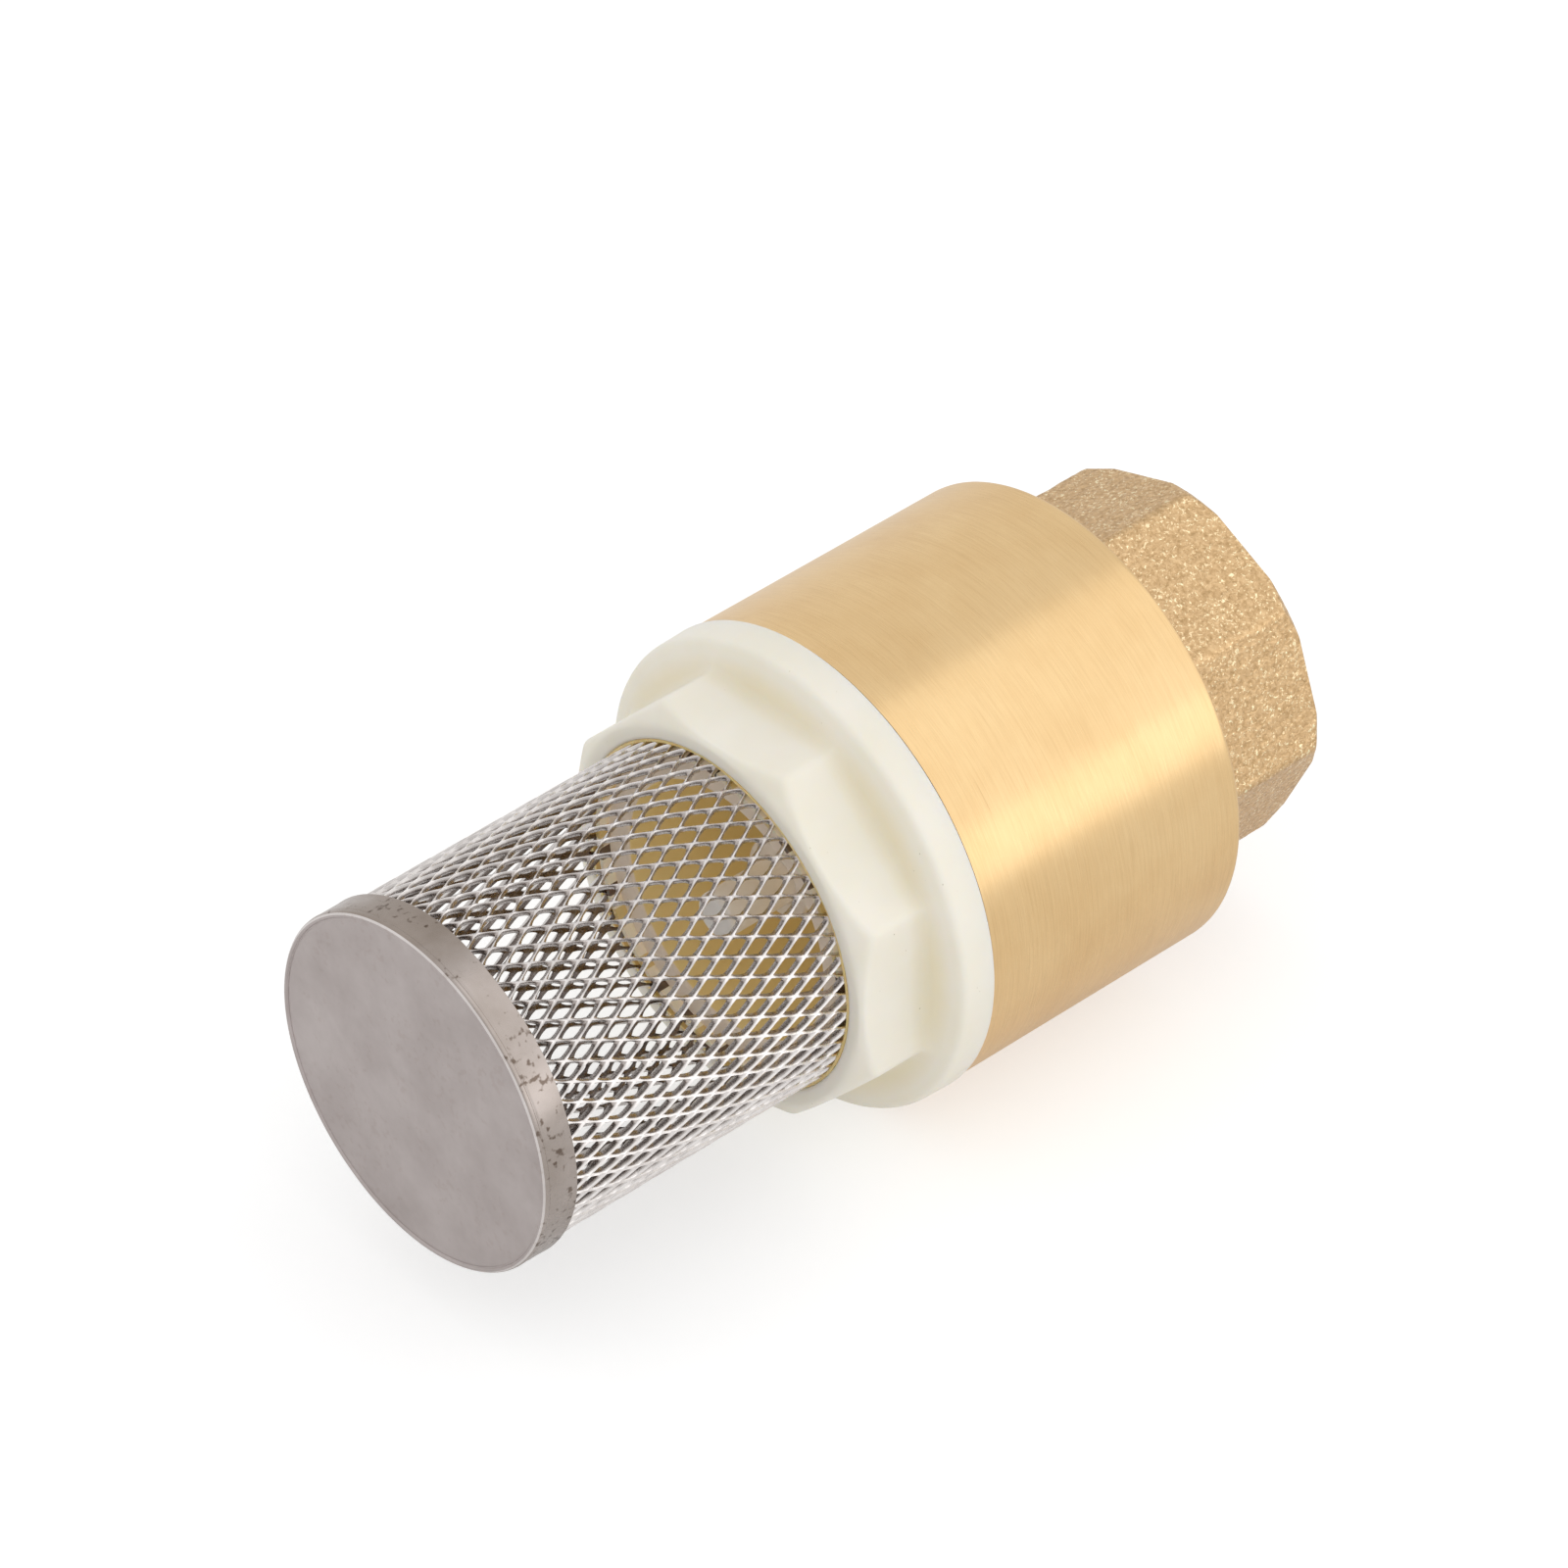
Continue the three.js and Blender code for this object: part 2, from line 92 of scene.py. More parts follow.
# the CAD rings have this many flat facets, so a true circle of the same size is a little larger
CAD_SIDES = 48
FACET = 1 / math.cos(math.pi / CAD_SIDES)
BARREL_RADIUS = BODY_FLAT * FACET
FLANGE_RADIUS = FLANGE_FLAT * FACET
SHOULDER = BODY_START + 27.9    # where the barrel ends and the cast octagon starts
CAST_INSIDE = 14.6              # the cast skin lies outside this radius
OUTLET_APOTHEM = 15.75
OUTLET_TURN = math.radians(-2.8)
OUTLET_BORE = 11.5
PIPE_CREST = 12.1               # crests of the outlet's pipe thread
PIPE_DEPTH = 1.05
PIPE_PITCH = 1.814
NUT_APOTHEM = 17.74
NUT_TURN = math.radians(24.4)
SLEEVE_RADIUS = 18.2            # plain part of the nut's sleeve
GROOVE_RADIUS = 18.45           # crests of the body's thread for the sleeve
SLEEVE_PITCH = 1.5
CAP_RADIUS = 16.25
MESH_RADIUS = 15.44             # middle of the sheet
STEM_RADIUS = 2.1
STEM_HOLE = 2.25
CAGE_HUB_RADIUS = 3.6
SPOKE_WIDTH = 2.4
CREASE = 32                     # degrees; edges sharper than this stay sharp
SOFT_CREASE = 50                # the same for the net and the spring


# ---- geometry helpers ------------------------------------------------------------------------

def angles(count):
    """Angles of a ring's points, from the top towards +Y."""
    return np.arange(count) * math.tau / count


def polygon_radius(turn, sides, apothem, corner, around):
    """Radius at each angle of a regular polygon with rounded corners, one corner at turn."""
    half = math.pi / sides
    side_angle = np.abs((around - turn) % (2 * half) - half)
    inner = apothem - corner
    slope = math.tan(half)
    flat = apothem / np.cos(side_angle)
    along = inner * (np.cos(side_angle) + slope * np.sin(side_angle))
    across = inner * (np.sin(side_angle) - slope * np.cos(side_angle))
    arc = along + np.sqrt(np.maximum(corner**2 - across**2, 0))
    return np.where(side_angle < math.atan2(inner * slope, apothem), flat, arc)


def unit(vectors):
    """Vectors made one unit long."""
    return vectors / np.maximum(np.linalg.norm(vectors, axis=-1, keepdims=True), 1e-9)


def outline(corners, count=RING):
    """Rings of a closed outline. A corner is (x, radius, setback) in millimetres; x and radius are
    numbers or one value per angle, and a setback above 0 rounds the corner that far back."""
    points = np.array([
        [np.broadcast_to(x, count), np.broadcast_to(radius, count)] for x, radius, _ in corners
    ]).transpose(0, 2, 1)
    rings = []
    for i, (_, _, setback) in enumerate(corners):
        here = points[i]
        if setback == 0:
            rings.append(here)
            continue
        before, after = points[i - 1] - here, points[(i + 1) % len(corners)] - here
        room = np.minimum(np.linalg.norm(before, axis=1), np.linalg.norm(after, axis=1))
        size = np.minimum(setback, room * LARGEST_SETBACK)[:, None]
        start, end = here + unit(before) * size, here + unit(after) * size
        rings.append(here + unit(before) * size * EDGE_SUPPORT)
        for t in np.linspace(0, 1, ARC_STEPS):
            rings.append((1 - t) ** 2 * start + 2 * t * (1 - t) * here + t**2 * end)
        rings.append(here + unit(after) * size * EDGE_SUPPORT)
    return rings


def link(name, mesh, crease=CREASE):
    """A new object for a mesh: doubles welded, normals out, smooth with sharp creases."""
    work = bmesh.new()
    work.from_mesh(mesh)
    bmesh.ops.remove_doubles(work, verts=work.verts, dist=2e-6)
    bmesh.ops.dissolve_degenerate(work, edges=work.edges, dist=1e-7)
    bmesh.ops.recalc_face_normals(work, faces=work.faces)
    work.to_mesh(mesh)
    work.free()
    mesh.shade_smooth()
    mesh.set_sharp_from_angle(angle=math.radians(crease))
    piece = bpy.data.objects.new(name, mesh)
    bpy.context.scene.collection.objects.link(piece)
    return piece


def turned(name, rings, closed=True):
    """A piece made of rings about the flow axis, joined in order; closed joins last to first."""
    rings = np.array(rings)
    rows, count, _ = rings.shape
    around = angles(count)
    x, radius = rings[..., 0], rings[..., 1]
    points = np.stack([x, radius * np.sin(around), radius * np.cos(around)], axis=-1) * MM
    points[..., 2] += AXIS_Z
    faces = []
    for i in range(rows if closed else rows - 1):
        a, b = i * count, (i + 1) % rows * count
        for j in range(count):
            k = (j + 1) % count
            faces.append((a + j, a + k, b + k, b + j))
    mesh = bpy.data.meshes.new(name)
    mesh.from_pydata(points.reshape(-1, 3).tolist(), [], faces)
    return link(name, mesh)


def thread(start, end, crest, depth, pitch):
    """Rings of a right-hand thread between two stations: radius crest at the tops, crest + depth
    in the grooves (a negative depth cuts inwards), running out over the first and last turn."""
    per_turn, flat, run_out = 14, 0.12, 1.5
    around = angles(RING)
    rings = []
    for x in np.linspace(start, end, round(abs(end - start) / pitch * per_turn)):
        phase = (x / pitch + around / math.tau) % 1
        groove = np.clip((1 - np.abs(2 * phase - 1) - flat) / (1 - 2 * flat), 0, 1)
        groove = groove * groove * (3 - 2 * groove)
        fade = min(1, abs(x - start) / pitch * run_out, abs(end - x) / pitch * run_out)
        rings.append(np.stack([np.full(RING, x), crest + depth * groove * fade], axis=-1))
    return rings


def stand_for(piece, node_name, body, slot, *looks):
    """Puts the materials on a piece, and lets it stand for a CAD node."""
    for look in looks:
        piece.data.materials.append(look)
    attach(piece, body)
    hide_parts(node_name)
    return piece


# ---- material helpers ------------------------------------------------------------------------

def new_look(name, **values):
    """A Principled material and its node tree; values go straight on the shader's sockets."""
    look = bpy.data.materials.new(name)
    look.use_nodes = True
    shader = look.node_tree.nodes["Principled BSDF"]
    for key, value in values.items():
        shader.inputs[key.replace("_", " ")].default_value = value
    return look, look.node_tree, shader


def node(tree, kind, inputs=None, **settings):
    """A node with its settings, and its inputs linked from a socket or set to a value."""
    made = tree.nodes.new(kind)
    for key, value in settings.items():
        setattr(made, key, value)
    for key, value in (inputs or {}).items():
        if isinstance(value, bpy.types.NodeSocket):
            tree.links.new(value, made.inputs[key])
        else:
            made.inputs[key].default_value = value
    return made


def object_vector(tree, scale):
    """The piece's own coordinates in millimetres, stretched by a scale for each axis."""
    place = node(tree, "ShaderNodeTexCoord").outputs["Object"]
    stretched = node(tree, "ShaderNodeMapping", {"Vector": place, "Scale": [s / MM for s in scale]})
    return stretched.outputs["Vector"]


def grain(tree, scale, detail=4.0, roughness=0.55, warp=0.0):
    """Noise, 0 to 1, in the piece's own coordinates."""
    inputs = {
        "Vector": object_vector(tree, scale), "Scale": 1.0, "Detail": detail, "Roughness": roughness,
        "Distortion": warp,
    }
    return node(tree, "ShaderNodeTexNoise", inputs).outputs["Fac"]


def ramp(tree, value, *stops):
    """A colour ramp; each stop is (position, colour)."""
    made = node(tree, "ShaderNodeValToRGB", {"Fac": value})
    elements = made.color_ramp.elements
    while len(elements) < len(stops):
        elements.new(0.5)
    for element, (position, colour) in zip(elements, stops):
        element.position = position
        element.color = (*colour, 1)
    return made.outputs["Color"]


def spread(tree, value, low, high, start=0.3, end=0.7):
    """Maps a 0 to 1 value to a range."""
    inputs = {"Value": value, "From Min": start, "From Max": end, "To Min": low, "To Max": high}
    return node(tree, "ShaderNodeMapRange", inputs).outputs["Result"]


def multiply(tree, first, second):
    """One colour times another."""
    made = node(tree, "ShaderNodeMix", data_type="RGBA", blend_type="MULTIPLY")
    colours = [s for s in made.inputs if s.type == "RGBA"]
    made.inputs["Factor"].default_value = 1
    tree.links.new(first, colours[0])
    tree.links.new(second, colours[1])
    return next(s for s in made.outputs if s.type == "RGBA")


def bump(tree, shader, *layers):
    """Stacks bumps on a shader; each layer is (height, strength, depth in millimetres)."""
    normal = None
    for height, strength, depth in layers:
        inputs = {"Height": height, "Strength": strength, "Distance": depth * MM}
        if normal is not None:
            inputs["Normal"] = normal
        normal = node(tree, "ShaderNodeBump", inputs).outputs["Normal"]
    tree.links.new(normal, shader.inputs["Normal"])


def turned_brass():
    """Brass with the fine rings that a lathe leaves; the tangent runs round the flow axis."""
    look, tree, shader = new_look("turned_brass", Metallic=1.0, Roughness=0.31, Anisotropic=0.65,
                                  Anisotropic_Rotation=0.25)
    tangent = node(tree, "ShaderNodeTangent", direction_type="RADIAL", axis="X")
    tree.links.new(tangent.outputs["Tangent"], shader.inputs["Tangent"])
    lines = grain(tree, (9.0, 0.22, 0.22), detail=3)
    fine = grain(tree, (20.0, 0.5, 0.5), detail=2)
    cloud = grain(tree, (0.16, 0.16, 0.16), detail=3)
    scratch = grain(tree, (5.0, 0.10, 0.10), detail=1)
    tone = ramp(tree, cloud, (0.35, (0.83, 0.575, 0.290)), (0.65, (0.87, 0.62, 0.325)))
    dark = ramp(tree, lines, (0.30, (0.94, 0.93, 0.92)), (0.50, (1, 1, 1)), (0.72, (1.04, 1.05, 1.06)))
    worn = ramp(tree, scratch, (0.20, (0.86, 0.84, 0.82)), (0.25, (1, 1, 1)))
    tree.links.new(multiply(tree, multiply(tree, tone, dark), worn), shader.inputs["Base Color"])
    tree.links.new(spread(tree, fine, 0.26, 0.36), shader.inputs["Roughness"])
    bump(tree, shader, (lines, 0.06, 0.02), (fine, 0.08, 0.008))
    return look


def cast_brass():
    """Brass with the grainy skin of a sand casting, and painted glints: small specks where the colour
    is raised far above the brass's own.
    """
    look, tree, shader = new_look("cast_brass", Metallic=1.0, Roughness=0.4)
    sand = grain(tree, (2.3, 2.3, 2.3), detail=3, roughness=0.6, warp=0.6)
    lumps = grain(tree, (0.8, 0.8, 0.8), detail=3)
    glint = grain(tree, (3.6, 3.6, 3.6), detail=2, warp=0.8)
    tone = ramp(tree, sand, (0.30, (0.49, 0.315, 0.15)), (0.50, (0.66, 0.445, 0.235)),
                (0.68, (0.80, 0.565, 0.315)))
    shift = spread(tree, lumps, -0.04, 0.06)
    cluster = node(tree, "ShaderNodeMath", {0: glint, 1: shift}, operation="ADD").outputs["Value"]
    # painted glints: the base colour is pushed above one in small specks
    painted_glint = ramp(tree, cluster, (0.61, (1, 1, 1)), (0.67, (1.6, 1.85, 2.2)))
    tree.links.new(multiply(tree, tone, painted_glint), shader.inputs["Base Color"])
    tree.links.new(spread(tree, glint, 0.46, 0.24, 0.45, 0.65), shader.inputs["Roughness"])
    bump(tree, shader, (lumps, 0.5, 0.12), (sand, 0.8, 0.10))
    return look


def root_painted_shade(tree, start, end, inner, outer):
    """Painted shade and glow in the root between the octagon and the flange: a deeper, yellower colour
    where shade falls in the crease, full at station end and radius inner, gone at station start and
    radius outer (millimetres)."""
    place = node(tree, "ShaderNodeTexCoord").outputs["Object"]
    split = node(tree, "ShaderNodeSeparateXYZ", {"Vector": place}).outputs
    across = node(tree, "ShaderNodeMapping", {
        "Vector": place, "Location": (0, 0, -AXIS_Z / MM), "Scale": (0, 1 / MM, 1 / MM),
    }).outputs["Vector"]
    radius = node(tree, "ShaderNodeVectorMath", {0: across}, operation="LENGTH").outputs["Value"]
    along = spread(tree, split["X"], 0, 1, start * MM, end * MM)
    near = spread(tree, radius, 1, 0, inner, outer)
    depth = node(tree, "ShaderNodeMath", {0: along, 1: near}, operation="MULTIPLY").outputs["Value"]
    return ramp(tree, depth, (0.0, (1, 1, 1)), (1.0, (0.97, 0.92, 0.76)))


def moulded_nylon(name, tint, shade, weight, reach_mm, root=None, painted_glow=(0, 0, 0)):
    """Translucent nylon; light travels reach_mm in it, red further than blue. Its emission colour is a
    painted glow that stands in for a little daylight that the nut's walls let in."""
    look, tree, shader = new_look(name, Roughness=0.42, Subsurface_Weight=weight,
                                  Subsurface_Radius=(1.0, 0.85, 0.6), Subsurface_Scale=reach_mm * MM,
                                  Specular_IOR_Level=0.5, Emission_Color=(*painted_glow, 1),
                                  Emission_Strength=1.0)
    cloud = grain(tree, (0.12, 0.12, 0.12), detail=3)
    skin = grain(tree, (1.8, 1.8, 1.8), detail=3)
    specks = grain(tree, (2.6, 2.6, 2.6), detail=1)
    tone = ramp(tree, cloud, (0.35, shade), (0.65, tint))
    dirt = ramp(tree, specks, (0.17, (0.55, 0.5, 0.42)), (0.21, (1, 1, 1)))
    colour = multiply(tree, tone, dirt)
    # painted shade in the crease between the octagon and the flange
    if root is not None:
        colour = multiply(tree, colour, root_painted_shade(tree, *root))
    tree.links.new(colour, shader.inputs["Base Color"])
    tree.links.new(spread(tree, skin, 0.36, 0.5), shader.inputs["Roughness"])
    bump(tree, shader, (cloud, 0.12, 0.3), (skin, 0.08, 0.03))
    return look


def strand_steel(name, dark, light):
    """Sheet steel with slow changes of tone, for the strands of the net; the net uses a lit copy and
    two shaded copies of it, painted light and shade.
    """
    look, tree, shader = new_look(name, Metallic=1.0, Roughness=0.26)
    cloud = grain(tree, (0.35, 0.35, 0.35), detail=3)
    skin = grain(tree, (6.0, 6.0, 6.0), detail=3)
    tone = ramp(tree, cloud, (0.35, dark), (0.65, light))
    tree.links.new(tone, shader.inputs["Base Color"])
    tree.links.new(spread(tree, skin, 0.2, 0.34), shader.inputs["Roughness"])
    bump(tree, shader, (skin, 0.15, 0.02))
    return look


def painted_top_shade(tree, patch, colour):
    """Painted shade: darker colour along the skirt's upper side, between two heights, with an uneven
    edge.
    """
    upwards, low, high = (0, 0.203, 0.979), 35.3 * MM, 37.0 * MM
    place = node(tree, "ShaderNodeTexCoord").outputs["Object"]
    height = node(tree, "ShaderNodeVectorMath", {0: place, 1: upwards}, operation="DOT_PRODUCT")
    level = spread(tree, height.outputs["Value"], 0, 1, low, high)
    shift = spread(tree, patch, -0.2, 0.2)
    ragged = node(tree, "ShaderNodeMath", {0: level, 1: shift}, operation="ADD").outputs["Value"]
    return ramp(tree, ragged, (0.1, (1, 1, 1)), (0.9, colour))


def stamped_steel(name, dark, light, stain, rough, top_shade=None):
    """Sheet steel of the stamped cup: cloudy and mottled, with stained pits in some patches, and
    painted shade along the upper side when a shade colour is given.
    """
    look, tree, shader = new_look(name, Metallic=1.0, Roughness=rough)
    cloud = grain(tree, (0.14, 0.14, 0.14), detail=4)
    mottle = grain(tree, (0.9, 0.9, 0.9), detail=4)
    skin = grain(tree, (5.0, 5.0, 5.0), detail=3)
    patch = grain(tree, (0.22, 0.22, 0.22), detail=2)
    pits = grain(tree, (1.5, 1.5, 1.5), detail=2, roughness=0.5)
    tone = ramp(tree, cloud, (0.35, dark), (0.65, light))
    shade = ramp(tree, mottle, (0.30, (0.95, 0.945, 0.94)), (0.62, (1.02, 1.02, 1.02)))
    where = spread(tree, patch, 0.10, -0.06, 0.40, 0.60)
    dirty = node(tree, "ShaderNodeMath", {0: pits, 1: where}, operation="ADD")
    spots = ramp(tree, dirty.outputs["Value"], (0.29, stain), (0.40, (1, 1, 1)))
    colour = multiply(tree, multiply(tree, tone, shade), spots)
    # painted shade along the skirt's upper side
    if top_shade is not None:
        colour = multiply(tree, colour, painted_top_shade(tree, mottle, top_shade))
    tree.links.new(colour, shader.inputs["Base Color"])
    tree.links.new(spread(tree, mottle, rough - 0.05, rough + 0.06), shader.inputs["Roughness"])
    bump(tree, shader, (mottle, 0.12, 0.06), (skin, 0.12, 0.015))
    return look


def plain_steel():
    """Drawn steel of the spring, washer, clip and hexagon nut."""
    look, tree, shader = new_look("plain_steel", Metallic=1.0, Roughness=0.3)
    lines = grain(tree, (4.0, 1.0, 1.0), detail=3)
    tone = ramp(tree, lines, (0.35, (0.52, 0.51, 0.50)), (0.65, (0.66, 0.65, 0.64)))
    tree.links.new(tone, shader.inputs["Base Color"])
    tree.links.new(spread(tree, lines, 0.22, 0.38), shader.inputs["Roughness"])
    bump(tree, shader, (lines, 0.15, 0.02))
    return look


def acetal_look(name, dark, light, painted_glow):
    """Smooth pale plastic; its emission colour is a painted glow that stands in for daylight that the
    plastic lets in.
    """
    look, tree, shader = new_look(name, Roughness=0.38, Subsurface_Weight=0.15, Subsurface_Scale=0.001,
                                  Subsurface_Radius=(1.0, 0.9, 0.8), Emission_Color=(*painted_glow, 1),
                                  Emission_Strength=1.0)
    cloud = grain(tree, (0.2, 0.2, 0.2), detail=3)
    skin = grain(tree, (2.4, 2.4, 2.4), detail=3)
    tone = ramp(tree, cloud, (0.35, dark), (0.65, light))
    tree.links.new(tone, shader.inputs["Base Color"])
    tree.links.new(spread(tree, skin, 0.32, 0.46), shader.inputs["Roughness"])
    bump(tree, shader, (skin, 0.1, 0.03))
    return look


def rubber_look():
    """Matt black rubber."""
    look, tree, shader = new_look("rubber", Roughness=0.7, Specular_IOR_Level=0.4)
    cloud = grain(tree, (0.5, 0.5, 0.5), detail=4)
    skin = grain(tree, (7.0, 7.0, 7.0), detail=3)
    tone = ramp(tree, cloud, (0.35, (0.012, 0.012, 0.013)), (0.65, (0.03, 0.03, 0.032)))
    tree.links.new(tone, shader.inputs["Base Color"])
    tree.links.new(spread(tree, skin, 0.6, 0.85), shader.inputs["Roughness"])
    bump(tree, shader, (skin, 0.2, 0.03))
    return look


def resin_look(name, dark, light, painted_glow):
    """Set resin, wavy and half clear; its emission colour is a painted glow that stands in for daylight
    in it.
    """
    look, tree, shader = new_look(name, Roughness=0.3, Subsurface_Weight=0.3, Subsurface_Scale=0.0008,
                                  Emission_Color=(*painted_glow, 1), Emission_Strength=1.0)
    cloud = grain(tree, (0.5, 0.5, 0.5), detail=3)
    skin = grain(tree, (1.5, 1.5, 1.5), detail=3)
    tree.links.new(ramp(tree, cloud, (0.35, dark), (0.65, light)), shader.inputs["Base Color"])
    tree.links.new(spread(tree, skin, 0.24, 0.42), shader.inputs["Roughness"])
    bump(tree, shader, (skin, 0.3, 0.08))
    return look


BRASS_TURNED = turned_brass()
BRASS_CAST = cast_brass()
# The root span puts painted shade in the crease between the nut's octagon and its flange.
NYLON = moulded_nylon("nylon", (0.91, 0.865, 0.77), (0.88, 0.835, 0.72), weight=0.5, reach_mm=1.8,
                      root=(NUT_START + 5.2, NUT_START + 7.4, 18.6, 20.4))
# Painted light: a lighter amber copy of the nylon for the nut's bore, standing in for daylight let in
# by the nylon walls and warm light off the brass.
NYLON_BORE_PAINTED_LIGHT = moulded_nylon("nylon_bore_painted_light", (0.96, 0.79, 0.43), (0.92, 0.73, 0.36), weight=0.2,
                           reach_mm=1.0, painted_glow=(0.07, 0.048, 0.014))
# Painted shade: a darker tan copy of the nylon for the socket floor, where the net shades it.
NYLON_FLOOR_PAINTED_SHADE = moulded_nylon("nylon_floor_painted_shade", (0.82, 0.69, 0.56), (0.76, 0.63, 0.51), weight=0.3,
                            reach_mm=1.2, painted_glow=(0.12, 0.102, 0.080))
# Painted light and shade: one steel in three copies, lightest for faces that look out, darker for the
# sides, near black for faces that look in.
STRAND = strand_steel("strand_steel", (0.80, 0.755, 0.735), (0.92, 0.88, 0.86))
STRAND_SIDE_PAINTED_SHADE = strand_steel("strand_side_painted_shade", (0.60, 0.565, 0.545), (0.74, 0.705, 0.685))
STRAND_INSIDE_PAINTED_SHADE = strand_steel("strand_inside_painted_shade", (0.17, 0.14, 0.125), (0.29, 0.25, 0.23))
CAP_FACE = stamped_steel("cap_face", (0.47, 0.415, 0.40), (0.55, 0.495, 0.48),
                         stain=(0.95, 0.93, 0.92), rough=0.40)
# The skirt's last colour is painted shade along its upper side.
CAP_SKIRT = stamped_steel("cap_skirt", (0.41, 0.355, 0.32), (0.52, 0.46, 0.43),
                          stain=(0.42, 0.37, 0.33), rough=0.27, top_shade=(0.74, 0.71, 0.67))
# Painted highlight: a much lighter copy of the cap steel for the fine bead on the rim.
CAP_BEAD_PAINTED_HIGHLIGHT = stamped_steel("cap_bead_painted_highlight", (0.70, 0.65, 0.63), (0.80, 0.75, 0.73),
                         stain=(0.92, 0.90, 0.88), rough=0.22)
STEEL = plain_steel()
CAGE_ACETAL = acetal_look("acetal_tan", (0.88, 0.79, 0.70), (0.93, 0.85, 0.77), (0.03, 0.026, 0.021))
ACETAL = acetal_look("acetal", (0.86, 0.81, 0.75), (0.92, 0.87, 0.81), (0.06, 0.054, 0.048))
RUBBER = rubber_look()
RESIN = resin_look("resin_amber", (0.60, 0.46, 0.20), (0.72, 0.57, 0.29), (0.10, 0.07, 0.022))
RESIN_CREAM = resin_look("resin_cream", (0.74, 0.66, 0.52), (0.82, 0.74, 0.59), (0.15, 0.13, 0.092))
RESIN_BROWN = resin_look("resin_brown", (0.14, 0.092, 0.055), (0.26, 0.18, 0.11), (0.006, 0.004, 0.003))


# ---- outlet body -----------------------------------------------------------------------------

def outlet_body():
    """Turned barrel and cast octagon in one closed skin, bored and threaded inside."""
    octagon = polygon_radius(OUTLET_TURN, 8, OUTLET_APOTHEM, 0.7, angles(RING))
    chamfer_top, edge, mouth_radius = 16.15, 0.1, 20.1
    cut = np.maximum(octagon - chamfer_top, 0)
    thread_start, thread_end = SHOULDER + 2.0, BODY_END - 1.5
    groove_start, groove_end = BODY_START + 2.0, GASKET_START
    chamber, chamber_end = 17.6, SHOULDER - 2.8
    recess, recess_end = 18.2, LIP_TOP + 0.3
    front = BODY_START - 0.16
    outside = outline([
        (front, BARREL_RADIUS, 0.15), (SHOULDER, BARREL_RADIUS, 0.45), (SHOULDER, octagon, 0.8),
        (BODY_END - cut - edge, octagon, 0.3), (BODY_END, octagon - cut - edge, 0.2),
        (BODY_END, 13.7, 0.25), (thread_end, PIPE_CREST, 0),
    ])
    outlet_thread = thread(thread_end, thread_start, PIPE_CREST, PIPE_DEPTH, PIPE_PITCH)
    inside = outline([
        (thread_start, PIPE_CREST, 0), (thread_start, OUTLET_BORE, 0.2),
        (SHOULDER + 0.6, OUTLET_BORE, 0.3), (chamber_end, 15.0, 0.3), (chamber_end, chamber, 0.3),
        (recess_end, chamber, 0.1), (recess_end, recess, 0.1), (GASKET_START, recess, 0.1),
        (GASKET_START, GROOVE_RADIUS, 0),
    ])
    nut_thread = thread(groove_end, groove_start, GROOVE_RADIUS, 0.6, SLEEVE_PITCH)
    mouth = outline([
        (groove_start, GROOVE_RADIUS, 0), (groove_start, mouth_radius, 0.2),
        (front, mouth_radius, 0.25),
    ])
    piece = turned("brass_body", dense(outside) + outlet_thread + inside + nut_thread + mouth)
    roughen(piece)
    for face in piece.data.polygons:
        radius = math.hypot(face.center.y, face.center.z - AXIS_Z) / MM
        past_shoulder = face.center.x / MM > SHOULDER + 0.25
        cast = past_shoulder and radius > CAST_INSIDE and face.normal.x < 0.85
        face.material_index = 1 if cast else 0
    return stand_for(piece, "outlet_body", "valve_body", "brass", BRASS_TURNED, BRASS_CAST)


def dense(rings):
    """More rings where neighbours of the octagon are far apart, so that the cast skin can be rough."""
    longest = 0.35
    filled = []
    for i, ring in enumerate(rings):
        filled.append(ring)
        if i + 1 == len(rings):
            break
        gap = rings[i + 1] - ring
        steps = int(np.abs(gap).max() / longest)
        if ring[:, 0].min() > SHOULDER - 0.1 and steps > 1:
            filled += [ring + gap * k / steps for k in range(1, steps)]
    return filled


def roughen(piece):
    """Sand-cast unevenness on the octagon, away from the machined faces."""
    depth, size = 0.05, 1.1
    for vertex in piece.data.vertices:
        x, y, z = vertex.co / MM
        radius = math.hypot(y, z - AXIS_Z / MM)
        if x < SHOULDER + 0.5 or x > BODY_END - 0.15 or radius < CAST_INSIDE:
            continue
        wave = noise.fractal(Vector((x, y, z)) * size, 1.0, 2.0, 4)
        vertex.co += Vector((0, y, z - AXIS_Z / MM)).normalized() * (wave * depth * MM)


# ---- inlet nut -------------------------------------------------------------------------------

